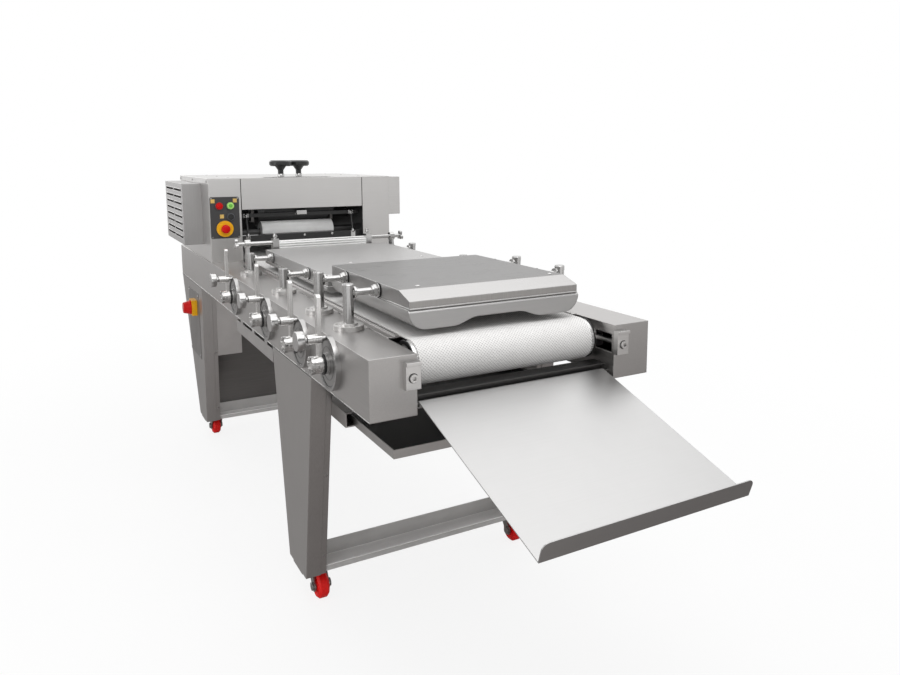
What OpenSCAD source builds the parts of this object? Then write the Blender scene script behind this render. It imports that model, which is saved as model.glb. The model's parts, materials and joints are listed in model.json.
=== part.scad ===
// Baguette moulder on castors: a belt conveyor between two folded rails, a sheeting head at the
// rear, two pressure boards over the belt that levers raise and lower, and a catch tray in front.
// Every module is drawn from one datum: x from the middle plane, y from the rails' front faces
// towards the head, z from the rails' top faces. The origin is on the floor below the middle.

/* [Frame] */
// Height of the rails' top faces above the floor
rail_top_z = 787; // [770:1:830]
// Length of the two rails
rail_l = 2254; // [2220:1:2400]
// Gap between the belt and a rail
belt_side = 29; // [26:1:34]
// Width of one rail
rail_w = 104; // [98:1:110]
// Height of one rail
rail_h = 129; // [126:1:140]
// Thickness of the folded sheet
sheet = 3; // [2:0.5:4]

/* [Legs] */
// Thickness of a leg across the machine
leg_w = 55; // [50:1:60]
// Distance from the rails' front faces to a front leg
front_leg_y = 374; // [350:1:400]
// Length of a front leg under the rail
front_leg_l = 346; // [320:1:380]
// Length of a front leg at its foot
front_foot_l = 147; // [130:1:170]
// Length of a rear leg under the rail
rear_leg_l = 456; // [430:1:480]
// Length of a rear leg at its foot
rear_foot_l = 146; // [130:1:170]
// Distance of a rear foot from the rails' rear ends
rear_foot_inset = 278; // [250:1:300]
// Height of a stringer behind a front leg
stringer_h = 38; // [30:1:50]
// Length of a stringer behind a front leg
stringer_l = 450; // [400:1:500]
// Height of a crossmember's rear wall
cross_back_h = 47; // [36:1:60]
// Height of a crossmember's front lip
cross_lip_h = 16; // [10:1:24]
// Depth of a crossmember
cross_l = 75; // [60:1:90]

/* [Castors] */
// Height of a castor from the floor to the leg
castor_h = 87; // [84:1:100]
// Diameter of a wheel
wheel_d = 70; // [62:1:72]
// Width of a wheel
wheel_w = 30; // [22:1:32]
// Distance of the wheel's axle from the swivel
castor_trail = 30; // [24:1:34]
// Distance of a castor's swivel towards the middle from its leg's centre
castor_inset = 25; // [15:1:30]
// Diameter of a castor's axle and of its kingpin
castor_pin_d = 14; // [10:1:16]

/* [Conveyor] */
// Width of the belt
belt_w = 454; // [430:1:470]
// Thickness of the belt
belt_t = 3; // [2:0.5:4]
// Height of the belt's face above the rails' top
belt_rise = 5; // [3:0.5:7]
// Diameter of the two drums
drum_d = 94; // [90:1:98]
// Distance of the front drum from the rails' front faces
front_drum_y = 97; // [90:1:100]
// Distance of the rear drum from the rails' rear ends
rear_drum_inset = 224; // [200:1:240]
// Diameter of the drums' axles
axle_d = 25; // [20:1:28]

/* [Pressure boards] */
// Distance of a board's side inside the belt's edge
board_side = 4; // [2:1:12]
// Distance of the front board from the rails' front faces
front_board_y = 105; // [100:1:112]
// Length of the front board
front_board_l = 495; // [470:1:510]
// Height of the front board's top above the rails
front_board_z = 102; // [98:1:112]
// Length of the rear board
rear_board_l = 660; // [640:1:670]
// Gap between the two boards
board_gap = 40; // [25:1:50]
// Height of the rear board's top above the rails
rear_board_z = 70; // [68:1:78]
// Depth of a board's folded cover
cover_h = 36; // [32:1:38]
// Length of the slope at the front of the front board
slope_l = 56; // [40:1:70]
// Drop of the slope at the front of the front board
slope_h = 17; // [10:1:19]
// Height of the pad under the front board
front_pad_h = 45; // [41:1:47]
// Height of the pad under the rear board
rear_pad_h = 14; // [10:1:16]
// Width of the hollow along the front pad
arch_w = 236; // [200:1:300]
// Depth of the hollow along the front pad
arch_h = 16; // [8:1:18]

/* [Lift posts] */
// Diameter of a post
post_d = 25; // [22:1:28]
// Distance of the posts from the rails' inner faces
post_inset = 41; // [38:1:44]
// Places of the four pairs of posts, from the head to the front
post_1_y = 1208; // [1190:1:1220]
// Second pair of posts
post_2_y = 812; // [800:1:830]
// Third pair of posts
post_3_y = 490; // [470:1:500]
// Fourth pair of posts
post_4_y = 278; // [260:1:290]
// Diameter of a post's socket on the rail
socket_d = 70; // [60:1:76]
// Height of a post's socket
socket_h = 15; // [10:1:18]
// Diameter of the arm between a post and its board
arm_d = 16; // [12:1:18]

/* [Lift levers] */
// Distance of a cross shaft ahead of its posts
shaft_lead = 60; // [58:1:62]
// Depth of the cross shafts below the rails' top
shaft_drop = 57; // [55:1:60]
// Diameter of a cross shaft
shaft_d = 20; // [16:1:22]
// Teeth on a pinion
pinion_teeth = 14; // [13:1:14]
// Module of the pinions and racks
tooth_m = 4; // [3.8:0.1:4]
// Diameter of a dial
dial_d = 123; // [110:1:125]
// Thickness of a dial
dial_t = 12; // [10:1:14]
// Length of a lever above its shaft
lever_l = 155; // [130:1:170]
// Thickness of a lever
lever_t = 9; // [6:1:11]
// Width of a lever
lever_w = 16; // [13:1:20]
// Diameter of a lever's hub
hub_d = 39; // [34:1:44]
// Length of a lever's hub
hub_l = 35; // [33:1:44]
// Diameter of an index plunger's knob
plunger_knob_d = 43; // [36:1:48]
// Reach of the plunger knobs beyond the rail
lever_reach = 80; // [78:1:96]

/* [Head] */
// Depth of the head
head_l = 617; // [590:1:640]
// Height of the head above the rails
head_h = 312; // [300:1:330]
// Distance of the head's back from the rails' rear ends
head_inset = 74; // [60:1:90]
// Width of one side column
column_w = 115; // [108:1:118]
// Height of the head's front panel
front_panel_h = 118; // [110:1:124]
// Diameter of a sheeting roller
roller_d = 80; // [74:1:82]
// Length of a sheeting roller
roller_l = 290; // [260:1:310]
// Gap between the sheeting rollers
nip = 5; // [4:0.5:8]
// Height of the lower roller's axis above the rails
lower_roller_z = 97; // [94:1:104]
// Distance of the lower roller from the head's front
lower_roller_y = 122; // [116:1:126]
// Steepness of the line between the two rollers
nip_angle = 42; // [38:1:46]
// Diameter of the rollers' shafts
roller_shaft_d = 25; // [20:1:28]

/* [Side guards] */
// Reach of the left guard beyond its column
left_guard_w = 70; // [60:1:80]
// Height of the left guard
left_guard_h = 233; // [220:1:236]
// Height of the right guard
right_guard_h = 158; // [140:1:170]
// Length of the left guard
left_guard_l = 429; // [400:1:460]
// Length of the right guard
right_guard_l = 496; // [460:1:520]
// Rows of slots in the left guard
louvre_rows = 8; // [4:1:9]

/* [Controls] */
// Width of the control panel
panel_w = 105; // [100:1:108]
// Height of the control panel
panel_h = 154; // [148:1:170]
// Diameter of a push button
button_d = 22; // [18:1:24]
// Diameter of the emergency stop's head
stop_d = 32; // [30:1:38]
// Diameter of the emergency stop's collar
stop_collar_d = 60; // [52:1:62]
// Side of the main switch's base
switch_side = 64; // [56:1:72]
// Diameter of a roller gap knob
gap_knob_d = 88; // [80:1:90]
// Height of a roller gap knob
gap_knob_h = 65; // [55:1:75]
// Distance between the two roller gap knobs across the machine
gap_knob_pitch = 88; // [80:1:100]
// Distance between the two roller gap knobs along the machine
gap_knob_stagger = 50; // [48:1:60]

/* [Trays] */
// Gap between the catch tray and a rail
tray_side = 13; // [8:1:20]
// Length of the catch tray
tray_l = 460; // [420:1:480]
// Slope of the catch tray in degrees
tray_slope = 17.6; // [12:0.1:20]
// Height of the catch tray's lip
tray_lip = 39; // [25:1:50]
// Gap between the crumb tray and a leg
crumb_side = 20; // [15:1:30]
// Length of the crumb tray
crumb_l = 590; // [540:1:610]
// Height of the crumb tray
crumb_h = 20; // [16:1:26]
// Depth of the crumb tray's top below the rails
crumb_drop = 218; // [212:1:226]
// Distance of the crumb tray from the rails' front faces
crumb_y = 58; // [40:1:80]

/* [Hidden] */
$fn = 64;

// Clearances: overrun of cuts, running fit, keyed fit, free room and gap to a moving face
over = 1;
run_fit = 0.05;
key_fit = 0.02;
free_fit = 0.5;
face_gap = 0.3;

// Colours
steel = [0.66, 0.65, 0.64];
bright = [0.85, 0.85, 0.86];
dark = [0.16, 0.16, 0.17];
white = [0.93, 0.93, 0.92];
red = [0.80, 0.08, 0.08];
yellow = [0.92, 0.70, 0.12];

// Rails and legs
inner = belt_w / 2 + belt_side;
half = inner + rail_w;
leg_in = half - leg_w;
foot_z = castor_h - rail_top_z;
front_leg_mid = front_leg_y + front_leg_l / 2;
rear_leg_y = rail_l - rear_leg_l;
rear_foot_y = rail_l - rear_foot_inset - rear_foot_l;
stringer_gap = 10;
stringer_w = 40;
stringer_blocks = 3;
stringer_block_l = 30;
cross_inset = 12;
rear_panel_inset = 8;

// Castors: mounting plate, kingpin, crown and cheeks
castor_plate_l = 80;
castor_plate_t = 4;
kingpin_l = 10;
crown_d = 54;
crown_h = 8;
cheek_t = 4;
cheek_gap = 2;
cheek_r = 15;
wheel_hub_d = 34;
wheel_recess = 4;
wheel_edge_share = 0.2;
axle_head_t = 5;
axle_head_d = 22;
wheel_z = wheel_d / 2 - rail_top_z;
castor_x = half - leg_w / 2 - castor_inset;
castor_ys = [front_leg_mid, rear_foot_y + rear_foot_l / 2];

// Conveyor
belt_gap = face_gap;
roll_r = drum_d / 2 + belt_gap + belt_t;
drum_z = belt_rise - roll_r;
rear_drum_y = rail_l - rear_drum_inset;
drum_lip = 10;
drum_l = belt_w + 2 * drum_lip;
bed_start = front_drum_y + drum_d / 2 + 2 * over;
bed_end = rear_drum_y - drum_d / 2 - 2 * over;
bed_flange_h = 30;
bed_strip_w = 6;
bed_strip_h = 4;
bed_strip_gap = 6;
sprocket_d = 72;
sprocket_t = 6;
sprocket_gap = 3;
chain_x = drum_l / 2 + sprocket_gap + sprocket_t / 2;
chain_t = 7;
chain_w = 9;

// Belt tensioners
block_w = 33;
block_h = 57;
block_t = 15;
block_up = 33;
block_lap = 2;
block_lip_h = 7;
block_lip_t = 5;
bearing_w = 24;
bearing_l = 44;
tension_rod_d = 12;
tension_slot_y = 9;
tension_room = 12;
screw_d = 18;
screw_h = 6;
socket_hex_d = 9;

// Boards, posts and racks
board_w = belt_w - 2 * board_side;
rear_board_y = front_board_y + front_board_l + board_gap;
front_shell_bottom = front_board_z - cover_h;
rear_shell_bottom = rear_board_z - cover_h;
front_pad_bottom = front_shell_bottom - front_pad_h;
rear_pad_bottom = rear_shell_bottom - rear_pad_h;
pad_lap = 3;
front_bilge_r = front_pad_h - pad_lap;
rear_bilge_r = rear_pad_h - pad_lap;
pad_bevel = 6;
arch_steps = 8;
arch_shoulder_share = 0.27;
front_posts_y = [post_3_y, post_4_y];
rear_posts_y = [post_1_y, post_2_y];
post_ys = concat(rear_posts_y, front_posts_y);
post_x = inner + post_inset;
arm_share = 0.5;
post_top_gap = 21;
arm_collar_d = 28;
arm_collar_t = 5;
arm_nut_d = 24;
arm_nut_t = 14;
arm_washer_d = 34;
arm_washer_t = 4;
pinion_r = pinion_teeth * tooth_m / 2;
tooth_tip_share = 0.8;
tooth_root_share = 1.1;
tooth_tip = tooth_tip_share * tooth_m;
tooth_root = tooth_root_share * tooth_m;
backlash = 0.4;
pressure_angle = 20;
pinion_w = 16;
rack_w = 14;
tooth_pitch = PI * tooth_m;
rack_teeth_below = 3;
rack_teeth_above = 1;
rack_low = (rack_teeth_below + 1 / 2) * tooth_pitch;
rack_high = (rack_teeth_above + 1 / 2) * tooth_pitch;
post_bottom = -shaft_drop - rack_low - tooth_m;
shaft_ys = [for (y = post_ys) y - shaft_lead];
shaft_reach = post_x + pinion_w / 2 + sheet;
socket_top_d = 42;
socket_base_h = 11;

// Dials, levers and plungers
dial_recess = 3;
dial_rim = 8;
dial_boss_d = 50;
dial_face_x = half + dial_t - dial_recess;
index_holes = 9;
index_back = 3;
index_step = 11.25;
index_d = 4;
index_depth = 4;
plunger_r = (dial_d - dial_rim) / 2;
lever_gap = 11.5;
lever_x = half + dial_t + lever_gap;
lever_bevel = 5;
hub_slot = 6;
hub_collar_l = 9;
hub_collar_d = 46;
boss_d = 22;
boss_l = 22;
plunger_d = 10;
plunger_neck_d = 16;
plunger_knob_t = 17;
plunger_x = half + lever_reach;

// Head
head_y = rail_l - head_inset - head_l;
column_out = half - sheet;
column_in = column_out - column_w;
head_panel_gap = 3;
hood_flange_h = 20;
roller_gap_r = roller_d + nip;
lower_y = head_y + lower_roller_y;
upper_y = lower_y + roller_gap_r * cos(nip_angle);
upper_z = lower_roller_z + roller_gap_r * sin(nip_angle);
roller_shaft_reach = column_in + column_w / 2;
head_sprocket_d = 64;
yoke_up = 12;
yoke_gap = 12;
yoke_t = 12;
yoke_w = 80;
yoke_bar_h = 26;
yoke_bar_z = upper_z + roller_d / 2 + yoke_gap;
yoke_x = roller_l / 2 + yoke_gap;
yoke_post_w = 22;
stem_d = 16;
stem_end = yoke_bar_z + sheet;
knob_collar_d = 24;
knob_collar_h = 12;
knob_neck_d = 22;
knob_neck_h = 14;
knob_cone_d = 44;
knob_head_h = 23;
knob_edge = 6;
infeed_lead = 30;
infeed_y = head_y + infeed_lead;
infeed_l = 90;
infeed_w = 280;

// Scrapers in the head's mouth
scraper_t = 3;
scraper_z = 62;
scraper_h = 30;
scraper_inset = 36;
blade_tip = 1;
mouth_rod_d = 9;
mouth_ball_d = 15;
mouth_rod_inset = 30;
mouth_rod_x = column_in - mouth_rod_inset;
grip_w = 40;
grip_h = 16;
grip_t = 22;
band_h = 14;
band_inset = 62;
band_z = 160;
chute_end_z = band_z + band_h + over;

// Curl bar ahead of the head
curl_lead = 213;
curl_y = head_y - curl_lead;
curl_z = 88;
curl_rod_d = 14;
curl_end = 43;
curl_profile_half = 165;
curl_profile_h = 33;
curl_profile_t = 14;
curl_ribs = 4;
curl_rib_d = 7;
curl_bracket_inset = 18;
curl_bracket_x = inner + curl_bracket_inset;
curl_half = curl_bracket_x + curl_end;
curl_bracket_t = 9;
curl_bracket_l = 56;
curl_foot_h = 7;
curl_foot_w = 34;
curl_boss_d = 30;
curl_neck = 20;
curl_clamp_w = 22;
curl_clamp_l = 30;
wing_d = 16;
wing_t = 10;
wing_reach = 11;

// Guards
guard_sheet = 2;
left_guard_top = head_h - hood_flange_h - 2 * over;
right_guard_w = lever_reach;
guard_inset = 46;
guard_back = head_y + head_l - guard_inset;
left_guard_y = guard_back - left_guard_l;
right_guard_y = guard_back - right_guard_l;
right_guard_drop = 4;
right_guard_top = head_h - right_guard_drop;
louvre_margin = 26;
louvre_h = 8;
louvre_bridge = 14;

// Controls, in places measured from the control panel's middle
panel_t = 4;
panel_shift = 3;
panel_x = -(column_in + column_w / 2) - panel_shift;
panel_z = 167;
panel_r = 6;
bezel_d = 30;
bezel_h = 5;
button_out = 9;
button_in = 10;
button_dx = 20;
button_row_z = 44;
black_row_z = 3;
stop_row_z = -41;
stop_collar_h = 8;
stop_neck_h = 6;
stop_travel = 5;
stop_head_h = 13;
stop_neck_d = 26;
stop_dx = -3;
red_at = [panel_x - button_dx, panel_z + button_row_z];
green_at = [panel_x + button_dx, panel_z + button_row_z];
black_at = [panel_x + button_dx, panel_z + black_row_z];
stop_at = [panel_x + stop_dx, panel_z + stop_row_z];
panel_front = head_y - panel_t;
button_front = panel_front - button_out;
button_back = head_y + sheet + button_in;

// Main switch and electrical box
switch_inset = 314;
switch_y = rail_l - switch_inset;
switch_z = -230;
switch_base_h = 20;
switch_disc_d = 52;
switch_disc_h = 10;
switch_grip_h = 20;
switch_grip_w = 16;
switch_stem_d = 12;
hatch_t = 2;
hatch_l = 225;
hatch_h = 274;
hatch_lead = 68;
hatch_up = 64;
box_w = 100;
box_l = 150;
box_h = 286;
box_inset = 424;
box_y = rail_l - box_inset;
box_drop = 8;
gland_d = 26;
gland_l = 34;
gland_bore_d = 13;
gland_nut_d = 32;
gland_nut_h = 10;
// The gland sits near the box's rear wall, so that its cable hangs down behind the rear crossmember
gland_back = 39;
gland_y = box_y + box_l - gland_back;

// Gear motor
motor_inset = 169;
motor_y = rail_l - motor_inset;
motor_z = -222;
motor_d = 136;
motor_l = 230;
gearbox_l = 120;
gearbox_h = 150;
gearbox_w = 110;
motor_plate_t = 6;
motor_plate_l = 230;
motor_shaft_d = 25;
motor_stub = 18;
motor_x = chain_x - motor_stub - gearbox_l - motor_l;

// Screw heads
panel_screw_d = 5;
panel_screw_h = 1.5;
panel_screw_inset = 5;
hood_screw_d = 9;
hood_screw_h = 2.5;
hood_screw_inset = 20;
leg_lap = 15;
leg_screw_drop = 278;
leg_screw_rise = 56;
strip_screw_d = 8;
leg_h = -rail_h - foot_z;

// Trays
tray_w = 2 * (inner - tray_side);
tray_t = 2;
tray_pin_y = 24;
tray_pin_z = -116;
tray_pin_d = 10;
tray_curl_r = 8;
tray_corner = 14;
tray_tail = 26;
hanger_gap = 3;
hanger_l = 42;
hanger_y = tray_pin_y + tray_curl_r + 2 * over;
tray_stop_y = tray_pin_y + tray_tail - 2 * sheet;
crumb_w = 2 * (leg_in - crumb_side);
crumb_wall = 2;
runner_h = 36;
runner_lap = 15;
runner_flange = crumb_side + runner_lap;
runner_lead = 80;

// The catch tray reaches this far ahead of the rails, and the part is centred on its whole length
tray_top = tray_curl_r - tray_t + tray_lip;
tray_reach = tray_l * cos(tray_slope) + tray_top * sin(tray_slope) - tray_pin_y;
rail_front_y = (tray_reach - rail_l) / 2;

// Place of one gap screw in x and y
function stem_at(side) = [side * gap_knob_pitch / 2, upper_y + side * gap_knob_stagger / 2];

// Places a module's solids, drawn from the datum, in the part's own frame
module datum() {
  translate([0, rail_front_y, rail_top_z]) children();
}

// Box between two corners
module span_box(low, high) {
  translate(low) cube(high - low);
}

// The children and their mirror image across the middle plane
module both_sides() {
  children();
  mirror([1, 0, 0]) children();
}

// Round bar along x between two places
module x_bar(d, x0, x1) {
  translate([x0, 0, 0]) rotate([0, 90, 0]) cylinder(d = d, h = x1 - x0);
}

// Round bar along y between two places
module y_bar(d, y0, y1) {
  translate([0, y1, 0]) rotate([90, 0, 0]) cylinder(d = d, h = y1 - y0);
}

// Outline drawn in y and z, extruded along x between two places
module yz_prism(x0, x1) {
  translate([x0, 0, 0]) rotate([90, 0, 90]) linear_extrude(x1 - x0) children();
}

// Outline drawn in x and z, extruded along y between two places
module xz_prism(y0, y1) {
  translate([0, y1, 0]) rotate([90, 0, 0]) linear_extrude(y1 - y0) children();
}

// Closed band around two rolls of inner radius r at two points in y and z
module band_loop(r, t, w, a, b) {
  d = b - a;
  tilt = atan2(d[1], d[0]);
  run = norm(d);
  translate([0, a[0], a[1]]) rotate([tilt, 0, 0]) {
    for (z = [r, -r - t]) span_box([-w / 2, 0, z], [w / 2, run, z + t]);
    for (end = [[0, 90], [run, -90]]) {
      translate([-w / 2, end[0], 0]) rotate([90, 0, 90]) rotate(end[1])
        rotate_extrude(angle = 180) translate([r, 0]) square([t, w]);
    }
  }
}

// One rail for the positive side: a closed box with holes for the posts and shafts
module rail_box() {
  difference() {
    span_box([inner, 0, -rail_h], [half, rail_l, 0]);
    span_box([inner + sheet, sheet, sheet - rail_h], [half - sheet, rail_l - sheet, -sheet]);
    for (y = post_ys) {
      translate([post_x, y, -sheet - over]) cylinder(d = post_d + 2 * free_fit, h = sheet + 2 * over);
    }
    for (y = shaft_ys) {
      translate([0, y, -shaft_drop]) x_bar(shaft_d + 2 * run_fit, inner - over, inner + sheet + over);
    }
    translate([0, rear_drum_y, drum_z])
      x_bar(axle_d + 2 * run_fit, inner - over, inner + sheet + over);
    span_box([inner - over, tension_slot_y, drum_z - bearing_l / 2],
      [inner + sheet + over, front_drum_y + bearing_l / 2 + tension_room, drum_z + bearing_l / 2]);
    translate([inner + bearing_w / 2 + sheet, 0, drum_z])
      y_bar(tension_rod_d + 2 * free_fit, -over, sheet + over);
  }
}

module rail_left() color(steel) datum() {
  difference() {
    mirror([1, 0, 0]) rail_box();
    for (y = shaft_ys) {
      translate([0, y, -shaft_drop]) x_bar(shaft_d + 2 * run_fit, -half - over, sheet + over - half);
    }
  }
}

module rail_right() color(steel) datum() rail_box();

// Side outline of a leg, in y and z, drawn in at its edges and at its ends
module leg_outline(top_y, top_l, foot_y, foot_l, edges, ends) {
  polygon([
    [top_y + edges, -rail_h - ends],
    [top_y + top_l - edges, -rail_h - ends],
    [foot_y + foot_l - edges, foot_z + ends],
    [foot_y + edges, foot_z + ends]
  ]);
}

// One hollow leg with its castor plate and kingpin; the outer sheet laps over the inner one
module leg(top_y, top_l, foot_y, foot_l) {
  difference() {
    union() {
      yz_prism(leg_in, half) leg_outline(top_y, top_l, foot_y, foot_l, sheet, 0);
      yz_prism(leg_in + leg_lap, half) leg_outline(top_y, top_l, foot_y, foot_l, 0, 0);
    }
    yz_prism(leg_in + sheet, half - sheet) leg_outline(top_y, top_l, foot_y, foot_l, 2 * sheet, sheet);
  }
  mid = foot_y + foot_l / 2;
  span_box([castor_x - castor_plate_l / 2, mid - castor_plate_l / 2, foot_z - castor_plate_t],
    [half, mid + castor_plate_l / 2, foot_z]);
  translate([castor_x, mid, foot_z - castor_plate_t - kingpin_l])
    cylinder(d = castor_pin_d, h = kingpin_l);
}

module legs() color(steel) datum() both_sides() {
  leg(front_leg_y, front_leg_l, front_leg_mid - front_foot_l / 2, front_foot_l);
  leg(rear_leg_y, rear_leg_l, rear_foot_y, rear_foot_l);
}

// Channel across two feet with a high rear wall and a low front lip
module crossmember(y) {
  yz_prism(-leg_in, leg_in) polygon([
    [y, foot_z],
    [y + cross_l, foot_z],
    [y + cross_l, foot_z + cross_back_h],
    [y + cross_l - sheet, foot_z + cross_back_h],
    [y + cross_l - sheet, foot_z + sheet],
    [y + sheet, foot_z + sheet],
    [y + sheet, foot_z + cross_lip_h],
    [y, foot_z + cross_lip_h]
  ]);
}

// Stringer under a rail, carried by spacer blocks
module stringer() {
  start = front_leg_y + front_leg_l;
  top = -rail_h - stringer_gap;
  x = half - stringer_w;
  span_box([x, start, top - stringer_h], [x + stringer_w, start + stringer_l, top]);
  for (i = [0 : stringer_blocks - 1]) {
    y = start + (i + 1 / 2) * stringer_l / stringer_blocks;
    span_box([x, y - stringer_block_l / 2, top], [x + stringer_w, y + stringer_block_l / 2, -rail_h]);
  }
}

// Channel that carries one edge of the crumb tray
module runner() {
  low = -crumb_drop - crumb_h - face_gap - sheet;
  back = front_leg_y + front_leg_l;
  start = front_leg_y - runner_lead;
  difference() {
    span_box([leg_in - runner_flange, start, low], [leg_in, back, low + runner_h]);
    span_box([leg_in - runner_flange - over, start - over, low + sheet],
      [leg_in - sheet, back + over, low + runner_h - sheet]);
  }
}

module lower_frame() color(steel) datum() {
  both_sides() {
    stringer();
    runner();
  }
  crossmember(front_leg_mid - front_foot_l / 2 + cross_inset);
  crossmember(rear_foot_y + cross_inset);
}

// Sloping back of the motor bay, between the rear legs
module rear_panel() color(dark) datum() {
  top_y = rear_leg_y + rear_leg_l - rear_panel_inset;
  low_y = rear_foot_y + rear_foot_l - rear_panel_inset;
  yz_prism(-leg_in, leg_in) polygon([
    [top_y - sheet, -rail_h],
    [top_y, -rail_h],
    [low_y, foot_z],
    [low_y - sheet, foot_z]
  ]);
}

// Box inside the left rear leg with its cable gland, and the hatch outside the leg
module electrical_box() color(bright) datum() {
  top = -rail_h - box_drop;
  low = top - box_h;
  gland_x = -leg_in + box_w / 2;
  difference() {
    span_box([-leg_in, box_y, low], [box_w - leg_in, box_y + box_l, top]);
    span_box([hatch_t - leg_in, box_y + hatch_t, low + hatch_t],
      [box_w - leg_in - hatch_t, box_y + box_l - hatch_t, top - hatch_t]);
    translate([gland_x, gland_y, low - over]) cylinder(d = gland_d, h = hatch_t + 2 * over);
  }
  difference() {
    translate([gland_x, gland_y, low - gland_l + gland_nut_h]) {
      cylinder(d = gland_d, h = gland_l);
      cylinder(d = gland_nut_d, h = gland_l - gland_nut_h);
    }
    translate([gland_x, gland_y, low - gland_l])
      cylinder(d = gland_bore_d, h = gland_l + gland_nut_h + over);
  }
  span_box([-half - hatch_t, switch_y - hatch_lead, switch_z + hatch_up - hatch_h],
    [-half, switch_y - hatch_lead + hatch_l, switch_z + hatch_up]);
}

// Pan under the belt's upper run, fixed between the rails and narrower between the columns
module bed_plate() color(bright) datum() {
  top = belt_rise - belt_t;
  difference() {
    span_box([-inner, bed_start, top - sheet], [inner, bed_end, top]);
    both_sides() span_box([column_in - free_fit, head_y - free_fit, top - sheet - over],
      [inner + over, bed_end + over, top + over]);
  }
  both_sides() {
    span_box([inner - sheet, bed_start, top - sheet - bed_flange_h], [inner, bed_end, top - sheet]);
    span_box([belt_w / 2 + bed_strip_gap, bed_start, top],
      [belt_w / 2 + bed_strip_gap + bed_strip_w, bed_end, top + bed_strip_h]);
  }
}

module conveyor_belt() color(white) datum() {
  band_loop(roll_r - belt_t, belt_t, belt_w, [front_drum_y, drum_z], [rear_drum_y, drum_z]);
}

// Bearing block, rod and end block that tension one end of the front drum
module tensioner() {
  x = inner + sheet;
  rod_x = x + bearing_w / 2;
  difference() {
    span_box([x + free_fit, front_drum_y - bearing_l / 2, drum_z - bearing_l / 2 + free_fit],
      [x + bearing_w, front_drum_y + bearing_l / 2, drum_z + bearing_l / 2 - free_fit]);
    translate([0, front_drum_y, drum_z]) x_bar(axle_d + 2 * run_fit, inner, x + bearing_w + over);
  }
  translate([rod_x, 0, drum_z]) y_bar(tension_rod_d, -block_t, front_drum_y - axle_d / 2 - sheet);
  difference() {
    union() {
      span_box([inner - block_lap, -block_t, drum_z + block_up - block_h],
        [inner - block_lap + block_w, 0, drum_z + block_up]);
      span_box([inner - block_lap, -block_t - block_lip_t, drum_z + block_up - block_lip_h],
        [inner - block_lap + block_w, -block_t, drum_z + block_up]);
      translate([rod_x, 0, drum_z]) y_bar(screw_d, -block_t - screw_h, -block_t);
    }
    translate([rod_x, 0, drum_z])
      y_bar(socket_hex_d, -block_t - screw_h - over, -block_t, $fn = 6);
  }
}

module belt_tensioners() color(steel) datum() both_sides() tensioner();

// Strip below the front drum, the rod that the catch tray hangs on and the lip that its tail meets
module tray_hanger() color(steel) datum() {
  strip_z = drum_z - roll_r - hanger_gap;
  span_box([-inner, hanger_y, strip_z - sheet], [inner, hanger_y + hanger_l, strip_z]);
  stop_z = tray_pin_z + (tray_stop_y + sheet - tray_pin_y) * tan(tray_slope)
    - (tray_curl_r - tray_t) / cos(tray_slope) + face_gap;
  span_box([-inner, tray_stop_y, stop_z], [inner, tray_stop_y + sheet, strip_z - sheet]);
  translate([0, tray_pin_y, tray_pin_z]) x_bar(tray_pin_d, -inner, inner);
}

// Index plate on the left rail with a raised rim and a row of index holes
module dial() {
  difference() {
    x_bar(dial_d, -half - dial_t, -half);
    difference() {
      x_bar(dial_d - 2 * dial_rim, -half - dial_t - over, -dial_face_x);
      x_bar(dial_boss_d, -half - dial_t - 2 * over, over - dial_face_x);
    }
    x_bar(shaft_d + 2 * free_fit, -half - dial_t - over, over - half);
    for (i = [0 : index_holes - 1]) {
      rotate([(i - index_back) * index_step, 0, 0]) translate([0, 0, plunger_r])
        x_bar(index_d, -half - dial_t - over, index_depth - half - dial_t);
    }
  }
}

module dial_discs() color(bright) datum() {
  for (y = shaft_ys) translate([0, y, -shaft_drop]) dial();
}

// Flanged bush that guides a post
module post_sockets() color(bright) datum() both_sides() {
  for (y = post_ys) translate([post_x, y, 0]) difference() {
    union() {
      cylinder(d = socket_d, h = socket_base_h);
      cylinder(d = socket_top_d, h = socket_h);
    }
    translate([0, 0, -over]) cylinder(d = post_d + 2 * run_fit, h = socket_h + 2 * over);
  }
}

// One hollow side column for the positive side
module column() {
  back = head_y + head_l;
  top = head_h - sheet;
  difference() {
    span_box([column_in, head_y, 0], [column_out, back, top]);
    span_box([column_in + sheet, head_y + sheet, sheet], [column_out - sheet, back - sheet, top - sheet]);
    translate([0, lower_y, lower_roller_z])
      x_bar(roller_shaft_d + 2 * run_fit, column_in - over, column_in + sheet + over);
    slot_r = roller_shaft_d / 2 + free_fit;
    span_box([column_in - over, upper_y - slot_r, upper_z - slot_r],
      [column_in + sheet + over, upper_y + slot_r, upper_z + slot_r + yoke_up]);
  }
}

module head_side_left() color(steel) datum() difference() {
  mirror([1, 0, 0]) column();
  for (at = [red_at, green_at, black_at, stop_at]) {
    translate([at[0], 0, at[1]]) y_bar(button_d + 2 * free_fit, head_y - over, head_y + sheet + over);
  }
}

module head_side_right() color(steel) datum() column();

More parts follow.
